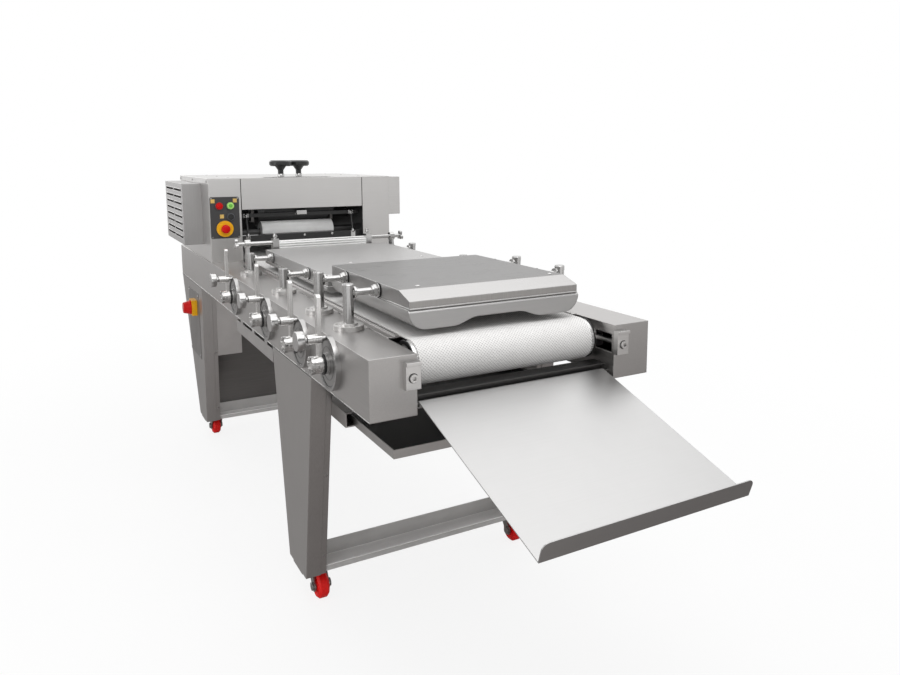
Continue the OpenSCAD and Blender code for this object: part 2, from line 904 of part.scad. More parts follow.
// Folded hood: front panel, top, back, side flanges and the two chute plates of the infeed
module head_cover() color(steel) datum() {
  back = head_y + head_l;
  side = column_in - head_panel_gap;
  top = head_h - sheet;
  span_box([-side, head_y, head_h - front_panel_h], [side, head_y + sheet, top]);
  span_box([-side, back - sheet, belt_rise + drum_d / 2], [side, back, top]);
  both_sides() span_box([column_out, head_y, head_h - hood_flange_h], [half, back, top]);
  difference() {
    span_box([-half, head_y, top], [half, back, head_h]);
    span_box([-infeed_w / 2, infeed_y, top - over], [infeed_w / 2, infeed_y + infeed_l, head_h + over]);
    for (side = [-1, 1]) {
      translate([stem_at(side)[0], stem_at(side)[1], top - over])
        cylinder(d = stem_d + 2 * free_fit, h = sheet + 2 * over);
    }
  }
  yz_prism(-infeed_w / 2, infeed_w / 2) polygon([
    [infeed_y - sheet, top],
    [infeed_y, top],
    [head_y + band_inset + sheet, chute_end_z],
    [head_y + band_inset, chute_end_z]
  ]);
}

// Guard on the outer face at x, open towards it
module guard_shell(x, y, l, w, top, h) {
  difference() {
    span_box([x, y, top - h], [x + w, y + l, top]);
    span_box([x - over, y + guard_sheet, top - h + guard_sheet],
      [x + w - guard_sheet, y + l - guard_sheet, top - guard_sheet]);
  }
}

module left_guard() color(steel) datum() mirror([1, 0, 0]) difference() {
  guard_shell(column_out, left_guard_y, left_guard_l, left_guard_w, left_guard_top, left_guard_h);
  pitch = (left_guard_h - 2 * louvre_margin) / (louvre_rows - 1);
  slot_l = (left_guard_l - 2 * louvre_margin - louvre_bridge) / 2;
  for (i = [0 : louvre_rows - 1], j = [0, 1]) {
    z = left_guard_top - louvre_margin - i * pitch;
    y = left_guard_y + louvre_margin + j * (slot_l + louvre_bridge);
    span_box([column_out + left_guard_w - guard_sheet - over, y, z - louvre_h / 2],
      [column_out + left_guard_w + over, y + slot_l, z + louvre_h / 2]);
  }
}

module right_guard() color(steel) datum() {
  guard_shell(half, right_guard_y, right_guard_l, right_guard_w, right_guard_top, right_guard_h);
}

// Plate with rounded corners and the bezels of the three push buttons
module control_panel() color(dark) datum() difference() {
  union() {
    xz_prism(panel_front, head_y) translate([panel_x, panel_z]) {
      square([panel_w - 2 * panel_r, panel_h], center = true);
      square([panel_w, panel_h - 2 * panel_r], center = true);
      for (x = [-1, 1], z = [-1, 1]) {
        translate([x * (panel_w / 2 - panel_r), z * (panel_h / 2 - panel_r)]) circle(r = panel_r);
      }
    }
    for (at = [red_at, green_at, black_at]) {
      translate([at[0], 0, at[1]]) y_bar(bezel_d, panel_front - bezel_h, panel_front);
    }
  }
  for (at = [red_at, green_at, black_at, stop_at]) {
    translate([at[0], 0, at[1]])
      y_bar(button_d + 2 * run_fit, panel_front - bezel_h - over, head_y + over);
  }
}

module stop_collar() color(yellow) datum() translate([stop_at[0], 0, stop_at[1]]) difference() {
  y_bar(stop_collar_d, panel_front - stop_collar_h, panel_front);
  y_bar(stop_neck_d + 2 * free_fit, panel_front - stop_collar_h - over, panel_front + over);
}

// Push button that slides in its bezel
module push_button(at) {
  translate([at[0], 0, at[1]]) y_bar(button_d, button_front, button_back);
}

module red_button() color(red) datum() push_button(red_at);
module green_button() color([0.35, 0.75, 0.2]) datum() push_button(green_at);
module black_button() color(dark) datum() push_button(black_at);

module stop_button() color(red) datum() translate([stop_at[0], 0, stop_at[1]]) {
  neck_front = panel_front - stop_collar_h - stop_neck_h;
  y_bar(stop_d, neck_front - stop_head_h, neck_front);
  y_bar(stop_neck_d, neck_front, panel_front - stop_travel - face_gap);
  y_bar(button_d, panel_front - stop_travel - face_gap, button_back);
}

module switch_base() color(yellow) datum() difference() {
  span_box([-half - hatch_t - switch_base_h, switch_y - switch_side / 2, switch_z - switch_side / 2],
    [-half - hatch_t, switch_y + switch_side / 2, switch_z + switch_side / 2]);
  translate([0, switch_y, switch_z])
    x_bar(switch_stem_d + 2 * run_fit, -half - hatch_t - switch_base_h - over, over - half - hatch_t);
}

module switch_handle() color(red) datum() translate([0, switch_y, switch_z]) {
  face = -half - hatch_t - switch_base_h - face_gap;
  x_bar(switch_disc_d, face - switch_disc_h, face);
  span_box([face - switch_disc_h - switch_grip_h, -switch_grip_w / 2, -switch_disc_d / 2],
    [face - switch_disc_h, switch_grip_w / 2, switch_disc_d / 2]);
  x_bar(switch_stem_d, face, face + switch_base_h);
}

// Scraper for the lower roller, the band above it, its grip and the two tie rods
module roller_scrapers() color(dark) datum() {
  y = head_y + scraper_inset;
  top = scraper_z + scraper_h;
  blade_end = lower_y - sqrt(pow(roller_d / 2 + blade_tip, 2) - pow(top - lower_roller_z, 2));
  band_y = head_y + band_inset - scraper_t;
  span_box([-column_in, y, scraper_z], [column_in, y + scraper_t, top]);
  span_box([-roller_l / 2, y, top - scraper_t], [roller_l / 2, blade_end - blade_tip, top]);
  span_box([-column_in, band_y, band_z], [column_in, band_y + scraper_t, band_z + band_h]);
  span_box([-grip_w / 2, band_y - grip_t, band_z + band_h - grip_h / 2],
    [grip_w / 2, band_y, band_z + band_h + grip_h / 2]);
  rise = [band_y - y, band_z + band_h / 2 - top];
  both_sides() {
    translate([mouth_rod_x, y, top]) rotate([-atan2(rise[0], rise[1]), 0, 0])
      cylinder(d = mouth_rod_d, h = norm(rise));
    translate([mouth_rod_x, y, top]) sphere(d = mouth_ball_d);
    translate([mouth_rod_x, band_y, band_z + band_h / 2]) sphere(d = mouth_ball_d);
  }
}

// Rod on two brackets with the ribbed bar that curls the dough, and a wing knob at each end
module curl_bar() color(white) datum() {
  translate([0, curl_y, curl_z]) {
    x_bar(curl_rod_d, -curl_half, curl_half);
    span_box([-curl_profile_half, -curl_profile_t / 2, -curl_profile_h],
      [curl_profile_half, curl_profile_t / 2, 0]);
    for (i = [0 : curl_ribs - 1]) {
      translate([0, -curl_profile_t / 2, -(i + 1 / 2) * curl_profile_h / curl_ribs])
        x_bar(curl_rib_d, -curl_profile_half, curl_profile_half);
    }
    both_sides() {
      span_box([curl_profile_half, -curl_clamp_l / 2, -curl_profile_h],
        [curl_profile_half + curl_clamp_w, curl_clamp_l / 2, curl_rod_d]);
      x_bar(curl_boss_d, curl_bracket_x - curl_bracket_t, curl_bracket_x + curl_bracket_t);
      for (turn = [0, 120, 240]) {
        rotate([turn, 0, 0]) translate([0, 0, wing_reach]) x_bar(wing_d, curl_half - wing_t, curl_half);
      }
    }
  }
  both_sides() {
    yz_prism(curl_bracket_x - curl_bracket_t / 2, curl_bracket_x + curl_bracket_t / 2) polygon([
      [curl_y - curl_bracket_l / 2, 0],
      [curl_y + curl_bracket_l / 2, 0],
      [curl_y + curl_neck / 2, curl_z],
      [curl_y - curl_neck / 2, curl_z]
    ]);
    span_box([curl_bracket_x - curl_foot_w / 2, curl_y - curl_bracket_l / 2, 0],
      [curl_bracket_x + curl_foot_w / 2, curl_y + curl_bracket_l / 2, curl_foot_h]);
  }
}

// Motor, gearbox, its plate between the rear legs, the drive sprocket and the chain
module gear_motor() color([0.35, 0.37, 0.4]) datum() {
  gear_x = motor_x + motor_l;
  top = -rail_h;
  difference() {
    span_box([-leg_in, motor_y - motor_plate_l / 2, top - motor_plate_t],
      [leg_in, motor_y + motor_plate_l / 2, top]);
    span_box([chain_x - chain_w, rear_drum_y - sprocket_d, top - motor_plate_t - over],
      [chain_x + chain_w, motor_y + sprocket_d, top + over]);
  }
  span_box([gear_x, motor_y - gearbox_w / 2, motor_z - gearbox_h / 2],
    [gear_x + gearbox_l, motor_y + gearbox_w / 2, top - motor_plate_t]);
  translate([0, motor_y, motor_z]) {
    x_bar(motor_d, motor_x, gear_x);
    x_bar(motor_shaft_d, gear_x + gearbox_l, chain_x + sprocket_t / 2);
    x_bar(sprocket_d, chain_x - sprocket_t / 2, chain_x + sprocket_t / 2);
  }
  translate([chain_x, 0, 0]) band_loop(sprocket_d / 2 + face_gap, chain_t, chain_w,
    [rear_drum_y, drum_z], [motor_y, motor_z]);
}

// Two screws in the strip at a leg's front edge that its outer sheet leaves bare
module strip_screws(top_y, foot_y) {
  lean = foot_y - top_y;
  for (drop = [leg_screw_drop, leg_h - leg_screw_rise]) {
    translate([leg_in + leg_lap / 2, top_y + sheet + drop * lean / leg_h, -rail_h - drop])
      rotate([atan2(lean, leg_h), 0, 0]) y_bar(strip_screw_d, -panel_screw_h, 0);
  }
}

// Round screw heads: control panel, hood flanges and front legs
module cover_screws() color(bright) datum() {
  inset = panel_screw_inset;
  for (x = [-1, 1], z = [-1, 1]) {
    translate([panel_x + x * (panel_w / 2 - inset), 0, panel_z + z * (panel_h / 2 - inset)])
      y_bar(panel_screw_d, panel_front - panel_screw_h, panel_front);
  }
  ends = hood_screw_inset;
  both_sides() for (y = [head_y + ends, head_y + head_l - ends]) {
    translate([0, y, head_h - hood_flange_h / 2]) x_bar(hood_screw_d, half, half + hood_screw_h);
  }
  translate([0, head_y + head_l / 2, head_h - hood_flange_h / 2])
    x_bar(hood_screw_d, -half - hood_screw_h, -half);
  both_sides() {
    strip_screws(front_leg_y, front_leg_mid - front_foot_l / 2);
    strip_screws(rear_leg_y, rear_foot_y);
  }
}

// Drum with stub axles, for rolls along x at a place in y and z
module drum(y, reach) {
  translate([0, y, drum_z]) {
    x_bar(drum_d, -drum_l / 2, drum_l / 2);
    x_bar(axle_d, -reach, reach);
  }
}

module front_drum() color(bright) datum() drum(front_drum_y, inner + sheet + bearing_w);

module rear_drum() color(bright) datum() {
  drum(rear_drum_y, inner + rail_w / 2);
  translate([0, rear_drum_y, drum_z]) x_bar(sprocket_d, chain_x - sprocket_t / 2, chain_x + sprocket_t / 2);
}

// Sheeting roller with its shaft and a sprocket in the left column
module sheeting_roller(y, z) {
  translate([0, y, z]) {
    x_bar(roller_d, -roller_l / 2, roller_l / 2);
    x_bar(roller_shaft_d, -roller_shaft_reach, roller_shaft_reach);
    x_bar(head_sprocket_d, -roller_shaft_reach, sprocket_t - roller_shaft_reach);
  }
}

module lower_roller() color(white) datum() sheeting_roller(lower_y, lower_roller_z);
module upper_roller() color(white) datum() sheeting_roller(upper_y, upper_z);

// Yoke that carries the upper roller and hangs on the two gap screws
module roller_yoke() color(steel) datum() difference() {
  union() {
    span_box([-yoke_x - yoke_t, upper_y - yoke_w / 2, yoke_bar_z],
      [yoke_x + yoke_t, upper_y + yoke_w / 2, yoke_bar_z + yoke_bar_h]);
    both_sides() span_box([yoke_x, upper_y - yoke_post_w, upper_z - yoke_post_w],
      [yoke_x + yoke_t, upper_y + yoke_post_w, yoke_bar_z]);
  }
  translate([0, upper_y, upper_z])
    x_bar(roller_shaft_d + 2 * run_fit, -yoke_x - yoke_t - over, yoke_x + yoke_t + over);
  for (side = [-1, 1]) {
    translate([stem_at(side)[0], stem_at(side)[1], yoke_bar_z - over])
      cylinder(d = stem_d + 2 * run_fit, h = yoke_bar_h + 2 * over);
  }
}

// Mushroom knob on its screw: bright collar, black neck, cone and round head
module gap_knob(side) {
  neck_z = knob_collar_h + knob_neck_h;
  cone_z = gap_knob_h - knob_head_h;
  translate([stem_at(side)[0], stem_at(side)[1], 0]) {
    translate([0, 0, stem_end]) cylinder(d = stem_d, h = head_h + knob_collar_h - stem_end);
    translate([0, 0, head_h + face_gap]) rotate_extrude() polygon([
      [0, 0],
      [knob_collar_d / 2, 0],
      [knob_collar_d / 2, knob_collar_h],
      [knob_neck_d / 2, knob_collar_h],
      [knob_neck_d / 2, neck_z],
      [knob_cone_d / 2, cone_z],
      [gap_knob_d / 2 - knob_edge, cone_z],
      [gap_knob_d / 2, cone_z + knob_edge],
      [gap_knob_d / 2, gap_knob_h - knob_edge],
      [gap_knob_d / 2 - knob_edge, gap_knob_h],
      [0, gap_knob_h]
    ]);
  }
}

module gap_knob_left() color(dark) datum() gap_knob(-1);
module gap_knob_right() color(dark) datum() gap_knob(1);

// Folded board cover, open below: outline in y and z, with a slope at its front
module board_shell(y, l, top, bottom, slope, drop, wall) {
  polygon([
    [y + wall, bottom],
    [y + l - wall, bottom],
    [y + l - wall, top - wall],
    [y + slope + wall / 2, top - wall],
    [y + wall, top - drop - wall / 2]
  ]);
}

// Board cover as a sheet with closed sides
module board_cover(y, l, top, bottom, slope, drop) {
  difference() {
    yz_prism(-board_w / 2, board_w / 2) board_shell(y, l, top, bottom, slope, drop, 0);
    yz_prism(sheet - board_w / 2, board_w / 2 - sheet)
      board_shell(y, l, top, bottom - over, slope, drop, sheet);
  }
}

module front_board_shell() color(steel) datum()
  board_cover(front_board_y, front_board_l, front_board_z, front_shell_bottom, slope_l, slope_h);

module rear_board_shell() color(steel) datum()
  board_cover(rear_board_y, rear_board_l, rear_board_z, rear_shell_bottom, sheet, sheet);

// Section of a pad in x and z: a block whose lower edges are round
module pad_section(bottom, top, bilge) {
  w = board_w / 2 + pad_lap;
  translate([-w, bottom + bilge]) square([2 * w, top - bottom - bilge]);
  translate([bilge - w, bottom]) square([2 * (w - bilge), top - bottom]);
  for (x = [bilge - w, w - bilge]) translate([x, bottom + bilge]) intersection() {
    circle(r = bilge);
    translate([-bilge, -bilge]) square([2 * bilge, bilge]);
  }
}

// Front pad: round sides, a hollow along its middle and a bevel along its top front edge
module front_board_pad() color(white) datum() difference() {
  shoulder = arch_shoulder_share * arch_w;
  rise = [for (i = [0 : arch_steps]) [
    i * shoulder / arch_steps - arch_w / 2,
    front_pad_bottom + arch_h * (1 - cos(180 * i / arch_steps)) / 2
  ]];
  end = front_board_y + front_board_l;
  xz_prism(front_board_y - pad_lap, end)
    pad_section(front_pad_bottom, front_shell_bottom, front_bilge_r);
  xz_prism(front_board_y - pad_lap - over, end + over) polygon(concat(
    [[-arch_w / 2, front_pad_bottom - over]],
    rise,
    [for (i = [arch_steps : -1 : 0]) [-rise[i][0], rise[i][1]]],
    [[arch_w / 2, front_pad_bottom - over]]
  ));
  yz_prism(-board_w, board_w) polygon([
    [front_board_y - pad_lap - over, front_shell_bottom + over],
    [front_board_y - pad_lap - over, front_shell_bottom - pad_bevel - over],
    [front_board_y - pad_lap + pad_bevel + over, front_shell_bottom + over]
  ]);
}

module rear_board_pad() color(white) datum()
  xz_prism(rear_board_y, rear_board_y + rear_board_l)
    pad_section(rear_pad_bottom, rear_shell_bottom, rear_bilge_r);

// Rack outline in y and z beside a shaft at the origin: straight teeth that point at the shaft
module rack_outline() {
  half_t = tooth_pitch / 4 - backlash / 2;
  tip = half_t - tooth_tip * tan(pressure_angle);
  root = half_t + tooth_root * tan(pressure_angle);
  translate([pinion_r + tooth_root, -rack_low])
    square([shaft_lead - pinion_r - tooth_root, rack_low + rack_high]);
  for (i = [-rack_teeth_below : rack_teeth_above]) {
    translate([0, i * tooth_pitch]) polygon([
      [pinion_r + tooth_root, -root],
      [pinion_r - tooth_tip, -tip],
      [pinion_r - tooth_tip, tip],
      [pinion_r + tooth_root, root]
    ]);
  }
}

// Involute of an angle, in degrees
function involute(a) = tan(a) * 180 / PI - a;

// Half angle of a pinion tooth at a radius
function tooth_half(r) =
  let (base = pinion_r * cos(pressure_angle))
  (tooth_pitch / 4 - backlash / 2) / pinion_r * 180 / PI
    + involute(pressure_angle) - (r > base ? involute(acos(base / r)) : 0);

// Pinion outline in y and z, with a gap between two teeth on its positive y side
module pinion_outline() {
  radii = [pinion_r - tooth_root, pinion_r, pinion_r + tooth_tip];
  step = 360 / pinion_teeth;
  polygon([for (i = [0 : pinion_teeth - 1], side = [-1, 1], k = [0 : 2])
    let (r = radii[side < 0 ? k : 2 - k], a = (i + 1 / 2) * step + side * tooth_half(r))
    [r * cos(a), r * sin(a)]]);
}

// Posts of one board with their racks, arms, nuts and washers
module posts(ys, board_z) {
  arm_z = board_z - cover_h * arm_share;
  side = board_w / 2;
  both_sides() for (y = ys) translate([0, y, 0]) {
    translate([post_x, 0, post_bottom]) cylinder(d = post_d, h = arm_z + post_top_gap - post_bottom);
    translate([0, -shaft_lead, -shaft_drop]) yz_prism(post_x - rack_w / 2, post_x + rack_w / 2)
      rack_outline();
    translate([0, 0, arm_z]) {
      x_bar(arm_d, side, post_x);
      x_bar(arm_washer_d, side, side + arm_washer_t);
      x_bar(arm_nut_d, side + arm_washer_t, side + arm_washer_t + arm_nut_t);
      x_bar(arm_collar_d, post_x - post_d / 2 - arm_collar_t, post_x - post_d / 2);
    }
  }
}

module front_posts() color(bright) datum() posts(front_posts_y, front_board_z);
module rear_posts() color(bright) datum() posts(rear_posts_y, rear_board_z);

// Cross shaft with two pinions, and the hub and lever keyed on its left end
module lift_lever(y) {
  hub_end = -half - dial_t - face_gap - hub_l;
  translate([0, y, -shaft_drop]) {
    x_bar(shaft_d, hub_end, shaft_reach);
    both_sides() yz_prism(post_x - pinion_w / 2, post_x + pinion_w / 2) pinion_outline();
    difference() {
      union() {
        x_bar(hub_d, hub_end, hub_end + hub_l);
        x_bar(hub_collar_d, -half - dial_t - face_gap - hub_collar_l, -half - dial_t - face_gap);
        yz_prism(-lever_x - lever_t, -lever_x) polygon([
          [-lever_w / 2, 0],
          [lever_w / 2, 0],
          [lever_w / 2, lever_l],
          [lever_bevel - lever_w / 2, lever_l],
          [-lever_w / 2, lever_l - lever_bevel]
        ]);
        translate([0, 0, plunger_r]) x_bar(boss_d, -lever_x - lever_t - boss_l, -lever_x);
      }
      x_bar(shaft_d + 2 * key_fit, hub_end - over, over - half - dial_t);
      span_box([hub_end - over, -hub_slot / 2, -hub_d], [hub_end + hub_slot, hub_slot / 2, hub_d]);
      translate([0, 0, plunger_r])
        x_bar(plunger_d + 2 * run_fit, -lever_x - lever_t - boss_l - over, over - lever_x);
    }
  }
}

module lever_1() color(bright) datum() lift_lever(shaft_ys[0]);
module lever_2() color(bright) datum() lift_lever(shaft_ys[1]);
module lever_3() color(bright) datum() lift_lever(shaft_ys[2]);
module lever_4() color(bright) datum() lift_lever(shaft_ys[3]);

// Index plunger: pin, neck and knob
module plunger(y) {
  neck_end = plunger_x - plunger_knob_t;
  translate([0, y, plunger_r - shaft_drop]) {
    x_bar(plunger_d, -neck_end, -half - dial_t - face_gap);
    x_bar(plunger_neck_d, -neck_end, -lever_x - lever_t - boss_l - face_gap);
    x_bar(plunger_knob_d, -plunger_x, -neck_end);
  }
}

module plunger_1() color(bright) datum() plunger(shaft_ys[0]);
module plunger_2() color(bright) datum() plunger(shaft_ys[1]);
module plunger_3() color(bright) datum() plunger(shaft_ys[2]);
module plunger_4() color(bright) datum() plunger(shaft_ys[3]);

// Castor fork below a leg, with the wheel's axle ahead of the swivel or behind it
module castor_fork(side, y, way) {
  top = foot_z - castor_plate_t - face_gap;
  cheek_x = wheel_w / 2 + cheek_gap;
  drop = top - wheel_z;
  trail = way * castor_trail;
  translate([side * castor_x, y, wheel_z]) {
    difference() {
      translate([0, 0, drop - crown_h]) cylinder(d = crown_d, h = crown_h);
      translate([0, 0, drop - crown_h - over])
        cylinder(d = castor_pin_d + 2 * run_fit, h = crown_h + 2 * over);
    }
    both_sides() {
      yz_prism(cheek_x, cheek_x + cheek_t) {
        polygon([
          [trail - cheek_r, 0],
          [trail + cheek_r, 0],
          [cheek_r, drop - crown_h / 2],
          [-cheek_r, drop - crown_h / 2]
        ]);
        translate([trail, 0]) circle(r = cheek_r);
      }
      translate([0, trail, 0])
        x_bar(axle_head_d, cheek_x + cheek_t, cheek_x + cheek_t + axle_head_t);
    }
    translate([0, trail, 0]) x_bar(castor_pin_d, -cheek_x - cheek_t, cheek_x + cheek_t);
  }
}

module castor_fork_1() color(steel) datum() castor_fork(-1, castor_ys[0], -1);
module castor_fork_2() color(steel) datum() castor_fork(1, castor_ys[0], -1);
module castor_fork_3() color(steel) datum() castor_fork(-1, castor_ys[1], 1);
module castor_fork_4() color(steel) datum() castor_fork(1, castor_ys[1], 1);

// Wheel with a round tread edge and a dished face on each side
module castor_wheel(side, y, way) {
  edge = wheel_edge_share * wheel_w;
  translate([side * castor_x, y + way * castor_trail, wheel_z]) rotate([0, 90, 0]) rotate_extrude() polygon([
    [castor_pin_d / 2 + run_fit, -wheel_w / 2],
    [wheel_hub_d / 2, -wheel_w / 2],
    [wheel_hub_d / 2, wheel_recess - wheel_w / 2],
    [wheel_d / 2 - 2 * edge, wheel_recess - wheel_w / 2],
    [wheel_d / 2 - edge, -wheel_w / 2],
    [wheel_d / 2, edge - wheel_w / 2],
    [wheel_d / 2, wheel_w / 2 - edge],
    [wheel_d / 2 - edge, wheel_w / 2],
    [wheel_d / 2 - 2 * edge, wheel_w / 2 - wheel_recess],
    [wheel_hub_d / 2, wheel_w / 2 - wheel_recess],
    [wheel_hub_d / 2, wheel_w / 2],
    [castor_pin_d / 2 + run_fit, wheel_w / 2]
  ]);
}

module castor_wheel_1() color(red) datum() castor_wheel(-1, castor_ys[0], -1);
module castor_wheel_2() color(red) datum() castor_wheel(1, castor_ys[0], -1);
module castor_wheel_3() color(red) datum() castor_wheel(-1, castor_ys[1], 1);
module castor_wheel_4() color(red) datum() castor_wheel(1, castor_ys[1], 1);

// Sloping tray that hangs on its rod by a curled edge and ends in a lip with round corners
module catch_tray() color(bright) datum() translate([0, tray_pin_y, tray_pin_z]) rotate([tray_slope, 0, 0]) {
  w = tray_w / 2;
  low = tray_curl_r - tray_t;
  difference() {
    union() {
      x_bar(2 * tray_curl_r, -w, w);
      span_box([-w, -tray_l, low], [w, 0, tray_curl_r]);
      span_box([-w, 0, -tray_curl_r], [w, tray_tail, tray_t - tray_curl_r]);
    }
    x_bar(tray_pin_d + 2 * run_fit, -w - over, w + over);
  }
  xz_prism(-tray_l, tray_t - tray_l) {
    translate([-w, low]) square([2 * w, tray_lip - tray_corner]);
    translate([tray_corner - w, low]) square([2 * (w - tray_corner), tray_lip]);
    for (x = [tray_corner - w, w - tray_corner]) {
      translate([x, low + tray_lip - tray_corner]) circle(r = tray_corner);
    }
  }
}

module crumb_tray() color(dark) datum() difference() {
  span_box([-crumb_w / 2, crumb_y, -crumb_drop - crumb_h],
    [crumb_w / 2, crumb_y + crumb_l, -crumb_drop]);
  span_box([crumb_wall - crumb_w / 2, crumb_y + crumb_wall, crumb_wall - crumb_drop - crumb_h],
    [crumb_w / 2 - crumb_wall, crumb_y + crumb_l - crumb_wall, over - crumb_drop]);
}

rail_left();
rail_right();
legs();
lower_frame();
rear_panel();
electrical_box();
bed_plate();
conveyor_belt();
belt_tensioners();
tray_hanger();
dial_discs();
post_sockets();
head_side_left();
head_side_right();
head_cover();
left_guard();
right_guard();
control_panel();
stop_collar();
switch_base();
roller_scrapers();
curl_bar();
gear_motor();
cover_screws();
front_drum();
rear_drum();
lower_roller();
upper_roller();
roller_yoke();
gap_knob_left();
gap_knob_right();
front_board_shell();
front_board_pad();
front_posts();
rear_board_shell();
rear_board_pad();
rear_posts();
lever_1();
lever_2();
lever_3();
lever_4();
plunger_1();
plunger_2();
plunger_3();
plunger_4();
castor_fork_1();
castor_fork_2();
castor_fork_3();
castor_fork_4();
castor_wheel_1();
castor_wheel_2();
castor_wheel_3();
castor_wheel_4();
stop_button();
red_button();
green_button();
black_button();
switch_handle();
catch_tray();
crumb_tray();
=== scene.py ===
import json
import math
from collections import namedtuple

import bmesh
import bpy
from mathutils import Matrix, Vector


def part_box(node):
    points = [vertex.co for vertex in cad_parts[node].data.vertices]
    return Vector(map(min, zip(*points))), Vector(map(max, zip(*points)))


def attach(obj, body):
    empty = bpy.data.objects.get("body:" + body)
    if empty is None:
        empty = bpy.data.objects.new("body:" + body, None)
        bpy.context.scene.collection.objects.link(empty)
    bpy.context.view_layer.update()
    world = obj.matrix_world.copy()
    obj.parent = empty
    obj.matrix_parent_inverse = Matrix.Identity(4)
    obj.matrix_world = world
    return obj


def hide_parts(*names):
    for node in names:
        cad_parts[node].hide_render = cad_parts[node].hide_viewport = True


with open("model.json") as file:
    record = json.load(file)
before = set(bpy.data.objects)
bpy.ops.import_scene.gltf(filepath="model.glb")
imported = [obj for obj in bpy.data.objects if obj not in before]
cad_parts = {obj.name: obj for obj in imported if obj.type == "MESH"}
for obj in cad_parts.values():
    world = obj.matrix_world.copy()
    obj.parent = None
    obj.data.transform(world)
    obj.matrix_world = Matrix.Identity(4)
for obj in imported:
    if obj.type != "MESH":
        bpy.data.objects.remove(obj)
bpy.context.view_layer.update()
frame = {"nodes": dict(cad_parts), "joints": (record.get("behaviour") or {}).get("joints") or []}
NODES = frame["nodes"]
SCENE = bpy.context.scene

# Places are given as in the part's source: millimetres across from the middle plane,
# along from the rails' front faces and up from the rails' top faces.
FRONT_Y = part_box("rail_left")[0][1]
TOP_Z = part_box("rail_left")[1][2]


def at(x, y, z):
    """A place of the source as a point of the frame."""
    return Vector((x / 1000, FRONT_Y + y / 1000, TOP_Z + z / 1000))


def in_mm(point):
    """A point of the frame as a place of the source."""
    x, y, z = point
    return tuple(round(1000 * v, 2) for v in (x, y - FRONT_Y, z - TOP_Z))


def corners(name):
    """A node's lowest and highest corners."""
    return [in_mm(corner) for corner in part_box(name)]


def middle(name):
    """The middle of a node's box."""
    low, high = corners(name)
    return [round((a + b) / 2, 1) for a, b in zip(low, high)]


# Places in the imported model
HINGES = {joint["name"]: in_mm(joint["pos_m"]) for joint in frame["joints"] if "pos_m" in joint}
HALF, RAIL_END, _ = corners("rail_right")[1]
RAIL_LOW = corners("rail_right")[0][2]
_, DRUM_Y, DRUM_Z = HINGES["front_drum_spin"]
REAR_DRUM_Y = HINGES["rear_drum_spin"][1]
BELT_LOW, BELT_HIGH = corners("conveyor_belt")
BELT_R = (BELT_HIGH[2] - BELT_LOW[2]) / 2
SHAFTS = [HINGES[f"lever_{k}_turn"] for k in range(1, 5)]
HEAD_Y = corners("head_cover")[0][1]
_, HEAD_END, HEAD_H = corners("head_cover")[1]
COLUMN_IN = corners("head_side_right")[0][0]
PANEL_Y = corners("stop_collar")[1][1]
_, SWITCH_Y, SWITCH_Z = HINGES["main_switch_turn"]
CURL_Y = middle("curl_bar")[1]
LEG_Y = corners("legs")[0][1]
LEG_IN = corners("rear_panel")[1][0]
FOOT_Z = corners("lower_frame")[0][2]

# Sizes and places in the part's source that no node's box gives. A post stands behind its lever's shaft,
# and a board's arms are below its cover's top.
POST_X, POST_BACK, ARM_DROP = 297, 60, 18
CURL_Z, CURL_HALF = 88, 165
ROLLER_HALF = 145
LEG_END, REAR_LEG_Y = 720, 1798
CROSS_L, CROSS_LIP = 75, 16
CROSSES = (485.5, corners("lower_frame")[1][1] - CROSS_L)
HATCH_Y, HATCH_END, HATCH_LOW, HATCH_TOP = 1872, 2097, -440, -166

# How far a detail is sunk into what carries it
SINK = 0.2

# Each board's post places along the machine, its arms' height, and its cover's box
Board = namedtuple("Board", "posts arm_z low high")
BOARDS = {}
for body, shafts in (("front_board", SHAFTS[2:]), ("rear_board", SHAFTS[:2])):
    low, high = corners(f"{body}_shell")
    BOARDS[body] = Board([shaft[1] + POST_BACK for shaft in shafts], high[2] - ARM_DROP, low, high)
BOARD_SIDE = BOARDS["front_board"].high[0]

# Camera
CAMERA_AT = (-884.4, -1339.1, 392)
CAMERA_DIP, CAMERA_TURN = 8.08, 30.1
view = bpy.data.cameras.new("camera")
view.sensor_fit = "HORIZONTAL"
view.sensor_width = 36
view.lens = 30.13
view.shift_x = -0.0339
view.shift_y = -0.0821
camera = bpy.data.objects.new("camera", view)
camera.location = at(*CAMERA_AT)
camera.rotation_euler = (math.radians(90 - CAMERA_DIP), 0, math.radians(-CAMERA_TURN))
SCENE.collection.objects.link(camera)
SCENE.camera = camera
SCENE.view_settings.view_transform = "Standard"


